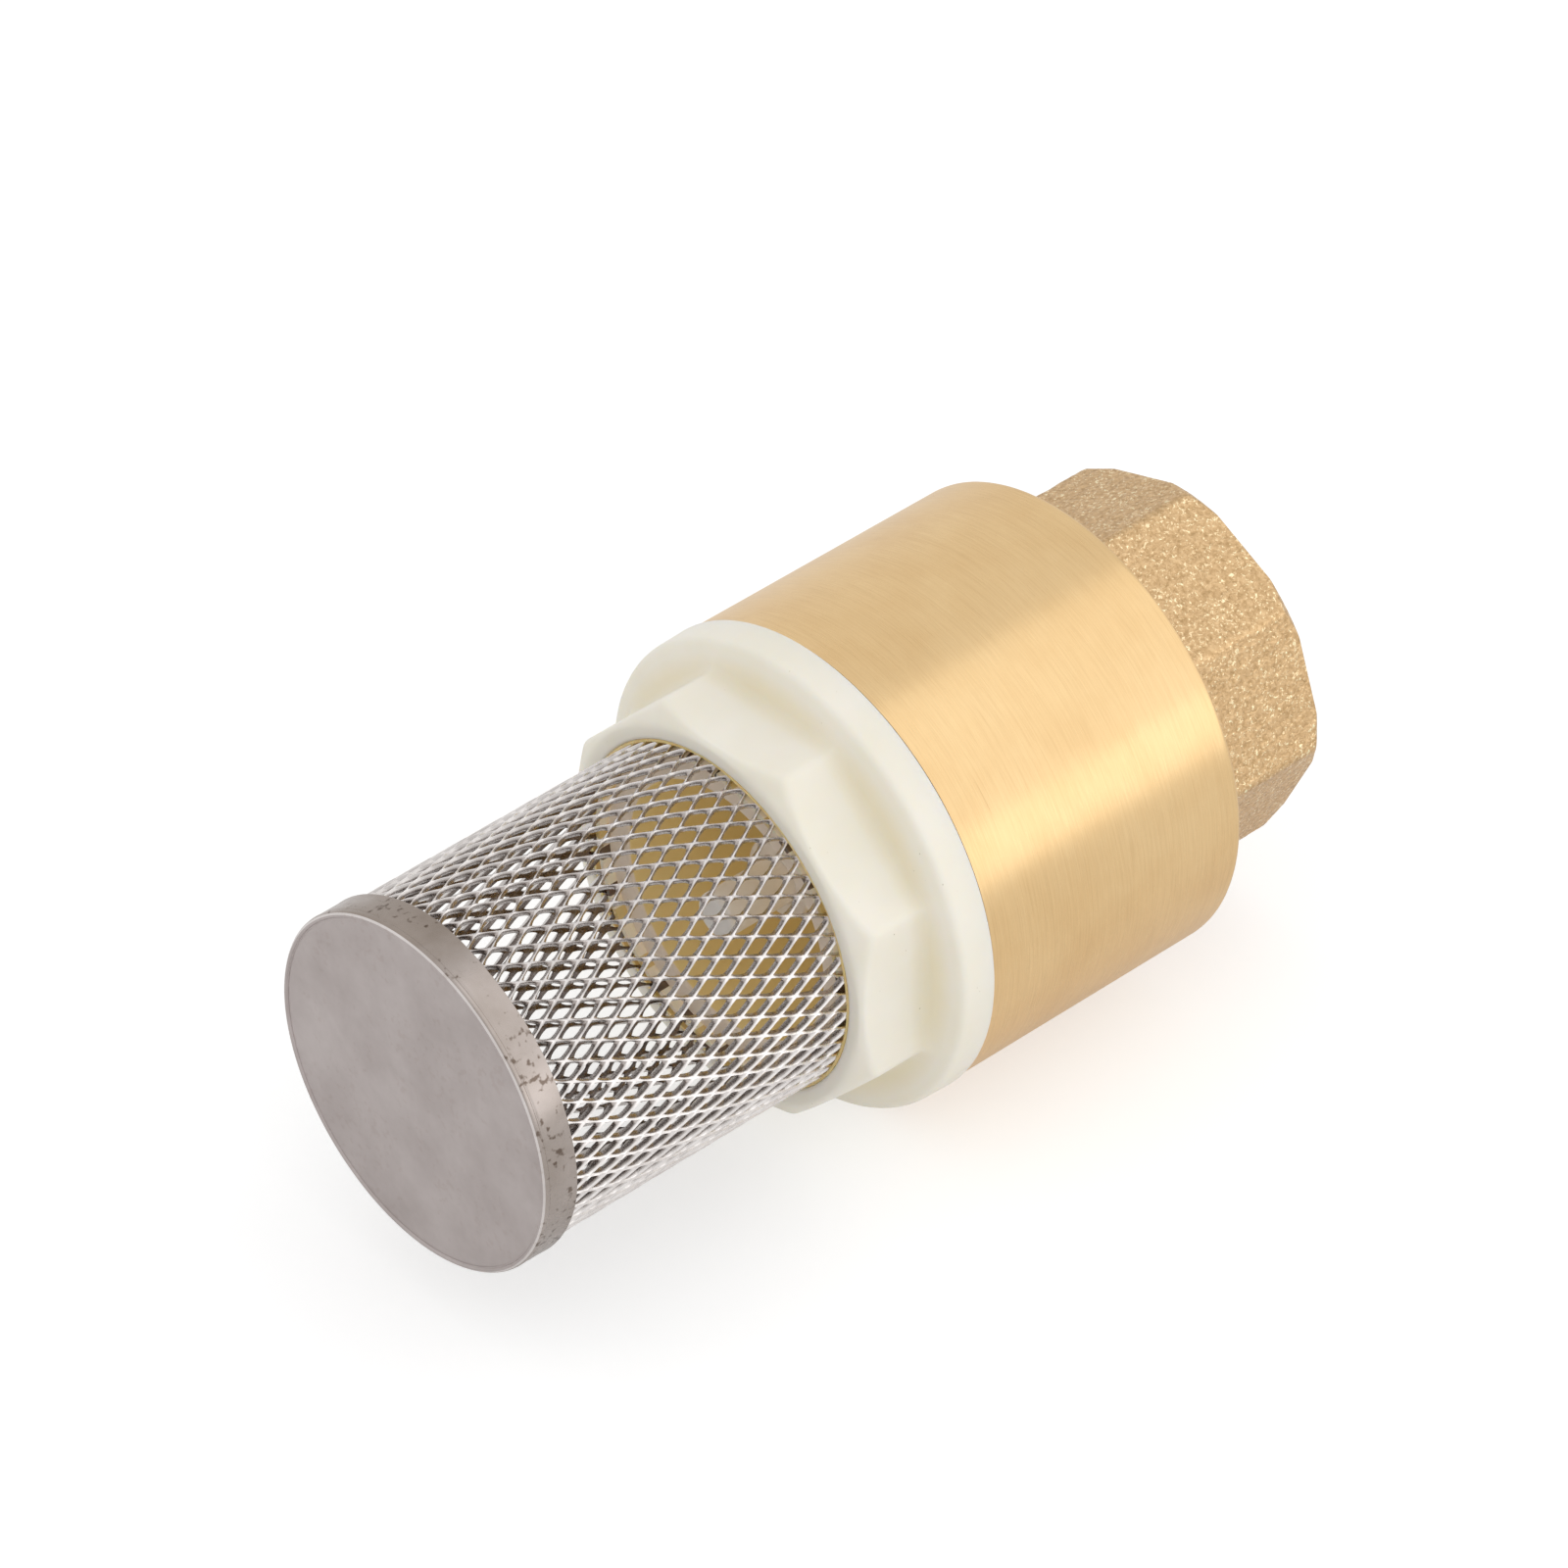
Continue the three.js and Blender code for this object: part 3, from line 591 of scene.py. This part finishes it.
def inlet_nut():
    """Moulded octagon with arced chamfers, flange, threaded sleeve, bore and tube socket."""
    octagon = polygon_radius(NUT_TURN, 8, NUT_APOTHEM, 0.9, angles(RING))
    front = NUT_START
    face_radius, chamfer_slope = 17.35, 0.74
    drop = np.maximum(octagon - face_radius, 0.05)
    flange_front, flange_back = front + 7.7, front + 11.0
    hole, floor, socket_end = 15.98, front + 0.9, front + 5.1
    bore, socket_inside = 11.9, 14.35
    thread_start, thread_end = BODY_START + 1.4, SLEEVE_END - 0.5
    outside = outline([
        (floor, hole, 0), (front, hole, 0.35), (front, octagon - drop, 0.45),
        (front + drop * chamfer_slope, octagon, 0.6), (front + 6.9, octagon, 1.1),
        (flange_front, FLANGE_RADIUS - 0.1, 0.55), (flange_back, FLANGE_RADIUS, 0.16),
        (flange_back, SLEEVE_RADIUS, 0.15), (thread_start, SLEEVE_RADIUS, 0),
    ])
    male_thread = thread(thread_start, thread_end, SLEEVE_RADIUS + 0.08, -0.62, SLEEVE_PITCH)
    inside = outline([
        (thread_end, SLEEVE_RADIUS, 0), (SLEEVE_END, 17.7, 0.15), (SLEEVE_END, bore, 0.25),
        (floor, bore, 0.4), (floor, socket_inside, 0.1), (socket_end, socket_inside, 0.1),
        (socket_end, hole, 0.1),
    ])
    piece = turned("nylon_nut", outside + male_thread + inside)
    for face in piece.data.polygons:
        radius = math.hypot(face.center.y, face.center.z - AXIS_Z) / MM
        # bore faces: the amber copy of the nylon, painted light
        if radius < bore + 0.02:
            face.material_index = 1
        # socket faces: the darker tan copy of the nylon, painted shade
        elif radius < hole - 0.02 and face.center.x / MM < socket_end + 0.1:
            face.material_index = 2
    return stand_for(piece, "inlet_nut", "strainer", "nylon", NYLON, NYLON_BORE_PAINTED_LIGHT, NYLON_FLOOR_PAINTED_SHADE)


# ---- strainer --------------------------------------------------------------------------------

MESH_COLUMNS = 54         # diamonds round the tube
MESH_ROW = 3.76           # length of a diamond along the axis
MESH_CROSSING = -22.78    # station of one strand crossing
MESH_PHASE = math.radians(-41.95)
STRAND_WIDTH = 0.27       # at the outside of the tube
STRAND_THICKNESS = 0.52
STRAND_LEAN = 0.10        # how far a strand's two edges stand above and below the sheet
TILE_STEPS = 5            # segments on each side of a diamond
HOLE_POWER = 1.12         # 1 is a sharp diamond, 2 an ellipse
INNER_SHARE = 1.95        # width of a strand at the inside of the tube over its width outside
RESIN_LUMPS = (0, 0, 1, 0, 1, 2, 0, 1, 0, 0, 1)   # a lump is 0 cream, 1 amber or 2 brown


def strainer_mesh():
    """Expanded-metal tube: diamond openings staggered in rows, each with its frame of strands."""
    half_row = MESH_ROW / 2
    half_column = math.pi / MESH_COLUMNS
    first = math.floor((MESH_START - MESH_CROSSING) / half_row) - 1
    last = math.ceil((MESH_END - MESH_CROSSING) / half_row) + 1
    edge, hole = diamond(half_row, half_column * MESH_RADIUS)
    points, faces = [], []
    for row in range(first, last + 1):
        for column in range(MESH_COLUMNS):
            x = MESH_CROSSING + row * half_row
            angle = MESH_PHASE + (2 * column + row % 2 + 1) * half_column
            add_tile(points, faces, x, angle, edge, hole)
    mesh = bpy.data.meshes.new("strainer_net")
    mesh.from_pydata((np.array(points) * MM).tolist(), [], faces)
    piece = link("strainer_net", mesh, SOFT_CREASE)
    cut_square(piece, MESH_START, -1)
    cut_square(piece, MESH_END, 1)
    piece.data.shade_smooth()
    piece.data.set_sharp_from_angle(angle=math.radians(SOFT_CREASE))
    for face in piece.data.polygons:
        outwards = Vector((0, face.center.y, face.center.z - AXIS_Z)).normalized()
        facing = face.normal.dot(outwards)
        # painted light and shade: each face takes the lit, side or inside copy by which way it faces
        face.material_index = 0 if facing > 0.4 else 1 if facing > -0.4 else 2
    looks = STRAND, STRAND_SIDE_PAINTED_SHADE, STRAND_INSIDE_PAINTED_SHADE
    return stand_for(piece, "strainer_mesh", "strainer", "mesh_steel", *looks)


def diamond(half_long, half_short):
    """The outline of one lattice tile and of its opening, point for point, as offsets from the
    tile's middle: first along the axis, then round the tube."""
    count = 4 * TILE_STEPS
    slope = math.atan2(half_short, half_long)
    long_hole = half_long - STRAND_WIDTH / 2 / math.sin(slope)
    short_hole = half_short - STRAND_WIDTH / 2 / math.cos(slope)
    corners = [(half_long, 0), (0, half_short), (-half_long, 0), (0, -half_short)]
    edge, hole = [], []
    for k in range(count):
        side, share = divmod(k, TILE_STEPS)
        share /= TILE_STEPS
        a, b = corners[side], corners[(side + 1) % 4]
        edge.append((a[0] + (b[0] - a[0]) * share, a[1] + (b[1] - a[1]) * share))
        c, s = math.cos(k / count * math.tau), math.sin(k / count * math.tau)
        size = (abs(c) ** HOLE_POWER + abs(s) ** HOLE_POWER) ** (-1 / HOLE_POWER)
        hole.append((long_hole * c * size, short_hole * s * size))
    return edge, hole


def cut_square(piece, station, side):
    """Cuts a tube's end off at a station along the axis and closes the cut strands."""
    work = bmesh.new()
    work.from_mesh(piece.data)
    everything = work.verts[:] + work.edges[:] + work.faces[:]
    bmesh.ops.bisect_plane(work, geom=everything, dist=1e-7, plane_co=(station * MM, 0, 0),
                           plane_no=(side, 0, 0), clear_outer=True)
    cut_edges = [
        edge for edge in work.edges
        if edge.is_boundary and all(abs(v.co.x - station * MM) < 1e-6 for v in edge.verts)
    ]
    bmesh.ops.holes_fill(work, edges=cut_edges, sides=0)
    bmesh.ops.recalc_face_normals(work, faces=work.faces)
    work.to_mesh(piece.data)
    work.free()


def add_tile(points, faces, x, angle, edge, hole):
    """Adds one tile's outside, the walls of its opening and its inside. Strands lean, as they do in
    expanded sheet: the edge towards +angle is the lower one."""
    count = len(edge)
    half = STRAND_THICKNESS / 2
    widest = max(across for _, across in hole)
    levels = [
        (0.0, half), (0.75, half * 0.95), (1.0, half * 0.72), (INNER_SHARE, -half * 0.66),
        (INNER_SHARE - 0.25, -half * 0.95), (0.0, -half),
    ]
    base = len(points)
    for share, height in levels:
        for (edge_x, edge_a), (hole_x, hole_a) in zip(edge, hole):
            lean = STRAND_LEAN * min(share, 1) * min(max(2.5 * hole_a / widest, -1), 1)
            radius = MESH_RADIUS + height + lean
            px = x + edge_x + (hole_x - edge_x) * share
            pa = angle + (edge_a + (hole_a - edge_a) * share) / MESH_RADIUS
            points.append((px, radius * math.sin(pa), AXIS_Z / MM + radius * math.cos(pa)))
    for level in range(len(levels) - 1):
        for k in range(count):
            a, b = base + level * count, base + (level + 1) * count
            n = (k + 1) % count
            faces.append((a + k, a + n, b + n, b + k))


def strainer_cap():
    """Stamped cup: flat face, rolled rim with a fine bead, and a thin skirt with a wavy end."""
    around = angles(RING)
    wave = 0.06 * np.sin(3 * around + 0.4) + 0.05 * np.sin(7 * around + 1.3)
    radius, sheet, sink = CAP_RADIUS, 0.4, 0.12
    start, end = CAP_START, CAP_END + wave - 0.05
    inside = start + sheet
    rings = outline([
        (start + sink, 0, 0), (start + sink, radius - 0.75, 0.2), (start + 0.18, radius - 0.58, 0.05),
        (start + 0.02, radius - 0.48, 0.06), (start, radius - 0.28, 0.1),
        (start + 0.22, radius - 0.06, 0.12), (start + 0.50, radius - 0.02, 0.12),
        (start + 0.62, radius - 0.10, 0.06), (start + 0.85, radius - 0.05, 0.1),
        (end - 0.5, radius - 0.04, 0.2), (end, radius, 0.1), (end, radius - sheet, 0.1),
        (inside + 0.4, radius - sheet - 0.1, 0.2), (inside + 0.2, radius - sheet - 0.8, 0.2),
        (inside + sink, 0, 0),
    ])
    piece = turned("steel_cap", rings, closed=False)
    for face in piece.data.polygons:
        distance = math.hypot(face.center.y, face.center.z - AXIS_Z) / MM
        x = face.center.x / MM
        if x > start + 0.55 and distance > radius - 0.6:
            face.material_index = 1
        # the fine bead takes the lighter copy, a painted highlight
        elif distance > radius - 0.30:
            face.material_index = 2 if x < start + 0.16 else 1
    looks = CAP_FACE, CAP_SKIRT, CAP_BEAD_PAINTED_HIGHLIGHT
    return stand_for(piece, "strainer_end_cap", "strainer", "cap_steel", *looks)


def bond_ring():
    """Resin inside the tube from the nut's face to the socket's floor, set in lumps of cream, amber
    and brown, and a fine line of it outside the tube."""
    crest = 0.05 * np.sin(5 * angles(RING)) + 0.04 * np.sin(11 * angles(RING) + 0.7)
    inner, outer = 14.62, 15.10
    line_inner, line_outer, line_length = 15.72, 15.97, 2
    lumps_round = 1.5 * MESH_COLUMNS
    start = NUT_START + 0.12 + crest
    piece = turned("bond_fill", outline([
        (start, inner, 0.05), (start, outer, 0.05), (BOND_END, outer, 0.1), (BOND_END, inner, 0.1),
    ]))
    for face in piece.data.polygons:
        turn = math.atan2(face.center.y, face.center.z - AXIS_Z) / math.tau
        lump = math.floor((turn + 1) * lumps_round)
        face.material_index = RESIN_LUMPS[lump * lump % len(RESIN_LUMPS)]
    outside = turned("bond_line", outline([
        (start, line_inner, 0.04), (start, line_outer, 0.04),
        (start + line_length, line_outer, 0.04), (start + line_length, line_inner, 0.04),
    ]))
    stand_for(piece, "bond_ring", "strainer", "resin", RESIN_CREAM, RESIN, RESIN_BROWN)
    stand_for(outside, "bond_ring", "strainer", "resin", RESIN)


# ---- working parts ---------------------------------------------------------------------------

def round_piece(name, node_name, body, slot, look, corners, count=RING, closed=True):
    """A turned piece from its outline, in place of a CAD node."""
    piece = turned(name, outline(corners, count), closed)
    return stand_for(piece, node_name, body, slot, look)


def bar(start, end, width, inner, outer, turn):
    """A rounded spoke from one radius to another, turned about the flow axis."""
    soft = 0.25
    work = bmesh.new()
    bmesh.ops.create_cube(work, size=1)
    size = Vector((end - start, width, outer - inner)) * MM
    middle = Vector(((start + end) / 2, 0, (inner + outer) / 2)) * MM
    for vertex in work.verts:
        vertex.co = vertex.co * size + middle
    long_edges = [e for e in work.edges if abs((e.verts[0].co - e.verts[1].co).z) > size.z / 2]
    bmesh.ops.bevel(work, geom=long_edges, offset=soft * MM, segments=3, affect="EDGES")
    place = Matrix.Translation((0, 0, AXIS_Z)) @ Matrix.Rotation(turn, 4, "X")
    bmesh.ops.transform(work, matrix=place, verts=work.verts)
    mesh = bpy.data.meshes.new("bar")
    work.to_mesh(mesh)
    work.free()
    return link("bar", mesh)


def fuse(piece, others, operation="UNION"):
    """Joins or cuts closed pieces into one closed skin."""
    for other in others:
        cut = piece.modifiers.new("join", "BOOLEAN")
        cut.operation = operation
        cut.solver = "EXACT"
        cut.object = other
        bpy.context.view_layer.update()
        result = piece.evaluated_get(bpy.context.evaluated_depsgraph_get())
        solid = bpy.data.meshes.new_from_object(result)
        piece.modifiers.clear()
        piece.data = solid
        bpy.data.objects.remove(other)
    solid.shade_smooth()
    solid.set_sharp_from_angle(angle=math.radians(CREASE))
    return piece


def seat_cage():
    """Seat ring with its raised lip, three spokes, and a long hub round the stem."""
    rim_inner, rim_outer = 11.5, 17.85
    rim_end = LIP_TOP - 0.8
    rim_start = rim_end - 2.5
    hub_end = rim_start + 0.6
    rim = turned("seat_spider", outline([
        (rim_start, rim_inner, 0.3), (rim_end, rim_inner, 0.2), (rim_end, 12.3, 0.1),
        (LIP_TOP, 12.65, 0.15), (LIP_TOP, 13.15, 0.15), (rim_end, 13.4, 0.1),
        (rim_end, rim_outer, 0.2), (rim_start, rim_outer, 0.2),
    ]))
    hub = turned("hub", outline([
        (CAGE_HUB_START, STEM_HOLE, 0.15), (CAGE_HUB_START, CAGE_HUB_RADIUS, 0.35),
        (hub_end, CAGE_HUB_RADIUS, 0.3), (hub_end, STEM_HOLE, 0.1),
    ], SMALL_RING))
    arms = [
        bar(rim_start + 0.1, rim_end - 0.9, SPOKE_WIDTH, 3.0, 12.2, math.pi + k * math.tau / 3)
        for k in range(3)
    ]
    piece = fuse(rim, arms + [hub])
    return stand_for(piece, "seat_cage", "valve_body", "acetal", CAGE_ACETAL)


def upper_guide():
    """Ring, four spokes, and a hub round the stem with a flat collar that the spring bears on."""
    rim_inner, rim_outer, hub_radius, collar = 14.6, 17.3, 4.0, 7.2
    start, end = GUIDE_START + 0.8, GUIDE_END - 1.2
    collar_end = start + 1.0
    rim = turned("guide_spider", outline([
        (start, rim_inner, 0.3), (start, rim_outer, 0.2), (end, rim_outer, 0.2), (end, rim_inner, 0.3),
    ]))
    hub = turned("hub", outline([
        (GUIDE_START, STEM_HOLE, 0.1), (GUIDE_START, hub_radius, 0.3), (start, hub_radius, 0.1),
        (start, collar, 0.2), (collar_end, collar, 0.3), (collar_end, hub_radius, 0.3),
        (GUIDE_END, hub_radius, 0.4), (GUIDE_END, STEM_HOLE, 0.1),
    ], SMALL_RING))
    arms = [
        bar(start + 0.1, end - 0.1, SPOKE_WIDTH, 3.2, 15.5, math.pi / 4 + k * math.tau / 4)
        for k in range(4)
    ]
    piece = fuse(rim, arms + [hub])
    return stand_for(piece, "upper_guide", "valve_body", "acetal", ACETAL)


def return_spring():
    """Wound wire with closed end turns."""
    wire, radius, turns, closed_turns, sides, steps = 0.4, 6.2, 4.0, 0.75, 12, 220
    closed_pitch = 2.2 * wire
    open_turns = turns - 2 * closed_turns
    open_length = SPRING_END - SPRING_START - 2 * wire - 2 * closed_turns * closed_pitch
    points = []
    for i in range(steps + 1):
        turn = turns * i / steps
        low_end = min(turn, closed_turns) * closed_pitch
        high_end = max(turn - (turns - closed_turns), 0) * closed_pitch
        middle = min(max(turn - closed_turns, 0), open_turns) / open_turns * open_length
        x = SPRING_START + wire + low_end + middle + high_end
        angle = turn * math.tau
        for k in range(sides):
            a = k * math.tau / sides
            out = radius + wire * math.cos(a)
            point = Vector((x + wire * math.sin(a), out * math.sin(angle), out * math.cos(angle)))
            points.append((point * MM + Vector((0, 0, AXIS_Z)))[:])
    faces = [tuple(range(sides))[::-1], tuple(steps * sides + k for k in range(sides))]
    for i in range(steps):
        for k in range(sides):
            n = (k + 1) % sides
            faces.append((i * sides + k, i * sides + n, (i + 1) * sides + n, (i + 1) * sides + k))
    mesh = bpy.data.meshes.new("spring_coil")
    mesh.from_pydata(points, [], faces)
    piece = link("spring_coil", mesh, SOFT_CREASE)
    piece.data.materials.append(STEEL)
    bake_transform(piece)
    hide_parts("return_spring")


def poppet():
    """The disc with its seal and washer, and the stem with its clip and hexagon nut."""
    disc_edge, boss, groove = 14.9, 9.6, DISC_END - 0.5
    boss_end = DISC_START + 2.1
    round_piece("disc_plate", "poppet_disc", "poppet", "acetal", ACETAL, [
        (DISC_START, STEM_HOLE, 0.1), (DISC_END, STEM_HOLE, 0.1), (DISC_END, 5.0, 0.2),
        (groove, 5.6, 0.2), (groove, 7.4, 0.2), (DISC_END - 0.1, 7.8, 0.2), (DISC_END, 13.5, 0.3),
        (DISC_END - 0.8, disc_edge, 0.3), (boss_end, disc_edge, 0.2), (boss_end, boss, 0.1),
        (DISC_START, boss, 0.2),
    ])
    seal_inner, seal_outer, washer_edge = 9.9, 14.5, 11.2
    round_piece("disc_seal", "poppet_seal", "poppet", "rubber", RUBBER, [
        (SEAL_START, seal_inner, 0.2), (SEAL_END, seal_inner, 0.2), (SEAL_END, seal_outer, 0.3),
        (SEAL_START, seal_outer, 0.4),
    ])
    round_piece("seal_washer", "seal_retainer", "poppet", "spring_steel", STEEL, [
        (RETAINER_START, STEM_HOLE, 0.1), (RETAINER_END, STEM_HOLE, 0.1),
        (RETAINER_END, washer_edge, 0.15), (RETAINER_START, washer_edge, 0.25),
    ])
    round_piece("stem_rod", "poppet_stem", "poppet", "acetal", ACETAL, [
        (STEM_START, 0, 0), (STEM_START, STEM_RADIUS, 0.5), (STEM_END, STEM_RADIUS, 0.5),
        (STEM_END, 0, 0),
    ], SMALL_RING, closed=False)
    hexagon = polygon_radius(0, 6, 3.5, 0.15, angles(SMALL_RING))
    chamfer_top, chamfer_slope = 3.62, 0.55
    cut = np.maximum(hexagon - chamfer_top, 0)
    back = cut * chamfer_slope
    round_piece("hex_nut", "stem_nut", "poppet", "spring_steel", STEEL, [
        (STEM_NUT_START, STEM_HOLE, 0.15), (STEM_NUT_START, hexagon - cut, 0.08),
        (STEM_NUT_START + back, hexagon, 0.1), (STEM_NUT_END - back, hexagon, 0.1),
        (STEM_NUT_END, hexagon - cut, 0.08), (STEM_NUT_END, STEM_HOLE, 0.15),
    ], SMALL_RING)
    clip_edge = 3.2
    clip = turned("ring_clip", outline([
        (CLIP_START, STEM_HOLE, 0.08), (CLIP_END, STEM_HOLE, 0.08), (CLIP_END, clip_edge, 0.08),
        (CLIP_START, clip_edge, 0.08),
    ], SMALL_RING))
    slot = bar(CLIP_START - 0.5, CLIP_END + 0.5, 2.2, 1.0, 5.0, 0.0)
    stand_for(fuse(clip, [slot], "DIFFERENCE"), "stem_clip", "poppet", "spring_steel", STEEL)


def seals():
    """The nut's O-ring and the flat gasket under the seat cage."""
    middle, radius, section = (ORING_START + ORING_END) / 2, 19.2, 0.7
    rings = [
        np.tile((middle + section * math.cos(a), radius + section * math.sin(a)), (RING, 1))
        for a in angles(20)
    ]
    piece = turned("o_ring", rings)
    stand_for(piece, "nut_o_ring", "nut_seal", "rubber", RUBBER)
    inner, outer = 14.6, 17.9
    round_piece("flat_gasket", "cage_gasket", "valve_body", "rubber", RUBBER, [
        (GASKET_START, inner, 0.15), (GASKET_END, inner, 0.15), (GASKET_END, outer, 0.15),
        (GASKET_START, outer, 0.15),
    ])


# ---- stage -----------------------------------------------------------------------------------

CAMERA_AZIMUTH = math.radians(-42.17)
CAMERA_ELEVATION = math.radians(39.77)
CAMERA_DISTANCE = 0.7889
CAMERA_LENS = 217.4
CAMERA_AIM = Vector((0.0052, 0.0088, AXIS_Z))


def camera():
    """A long lens from above the strainer's end, a little to the side."""
    data = bpy.data.cameras.new("camera")
    data.lens = CAMERA_LENS
    data.sensor_width = 36
    data.clip_start, data.clip_end = 0.01, 50
    eye = bpy.data.objects.new("camera", data)
    flat = math.cos(CAMERA_ELEVATION)
    back = Vector((
        math.sin(CAMERA_AZIMUTH) * flat, -math.cos(CAMERA_AZIMUTH) * flat, math.sin(CAMERA_ELEVATION),
    ))
    eye.location = CAMERA_AIM + back * CAMERA_DISTANCE
    eye.rotation_euler = back.to_track_quat("Z", "Y").to_euler()
    bpy.context.scene.collection.objects.link(eye)
    bpy.context.scene.camera = eye


def softbox(name, towards, top, distance, width, height, radiance):
    """A rectangular light in a direction from the valve, facing it, its top edge towards top."""
    data = bpy.data.lights.new(name, "AREA")
    data.shape = "RECTANGLE"
    data.size, data.size_y = width, height
    data.energy = radiance * math.pi * width * height
    lamp = bpy.data.objects.new(name, data)
    back = Vector(towards).normalized()
    side = Vector(top).cross(back).normalized()
    lamp.location = back * distance
    lamp.rotation_euler = Matrix((side, back.cross(side), back)).transposed().to_euler()
    bpy.context.scene.collection.objects.link(lamp)


def ground(name, grey, glow, drop, seen_by_camera):
    """A large plain floor, a drop below the valve. One is what the camera sees; the other, darker
    one is what lights and reflects in the valve, as a card would in a studio."""
    half_size = 4
    work = bmesh.new()
    bmesh.ops.create_grid(work, x_segments=8, y_segments=8, size=half_size)
    mesh = bpy.data.meshes.new(name)
    work.to_mesh(mesh)
    work.free()
    sheet = bpy.data.objects.new(name, mesh)
    sheet.location.z = AXIS_Z - FLANGE_RADIUS * MM - drop
    bpy.context.scene.collection.objects.link(sheet)
    look, tree, shader = new_look(name, Roughness=0.9, Specular_IOR_Level=0.1, Emission_Strength=glow,
                                  Emission_Color=(1, 1, 1, 1))
    tone = ramp(tree, grain(tree, (0.01, 0.01, 0.01)), (0.3, (grey,) * 3), (0.7, (grey + 0.02,) * 3))
    tree.links.new(tone, shader.inputs["Base Color"])
    mesh.materials.append(look)
    sheet.visible_camera = seen_by_camera
    sheet.visible_diffuse = not seen_by_camera
    sheet.visible_glossy = not seen_by_camera
    sheet.visible_transmission = not seen_by_camera


def studio():
    """An even white surround, a large soft key light, a low strip light and the two floors."""
    world = bpy.data.worlds.new("studio")
    bpy.context.scene.world = world
    world.use_nodes = True
    surround = world.node_tree.nodes["Background"].inputs
    surround["Color"].default_value = (1, 1, 1, 1)
    surround["Strength"].default_value = 0.84
    softbox("key", towards=(0.58, -0.58, 0.57), top=(0, 1, 0), distance=1.2, width=2.4, height=1.84,
            radiance=0.34)
    softbox("strip", towards=(0.516, -0.84, 0.18), top=(0.17, 0.30, 0.94), distance=1.2, width=1.5,
            height=0.50, radiance=0.36)
    ground("floor", grey=0.64, glow=0.50, drop=0.0, seen_by_camera=True)
    ground("floor_card", grey=0.70, glow=0.22, drop=0.00002, seen_by_camera=False)
    bpy.context.scene.view_settings.view_transform = "Standard"


camera()
studio()
outlet_body()
inlet_nut()
strainer_mesh()
strainer_cap()
bond_ring()
seat_cage()
upper_guide()
return_spring()
poppet()
seals()
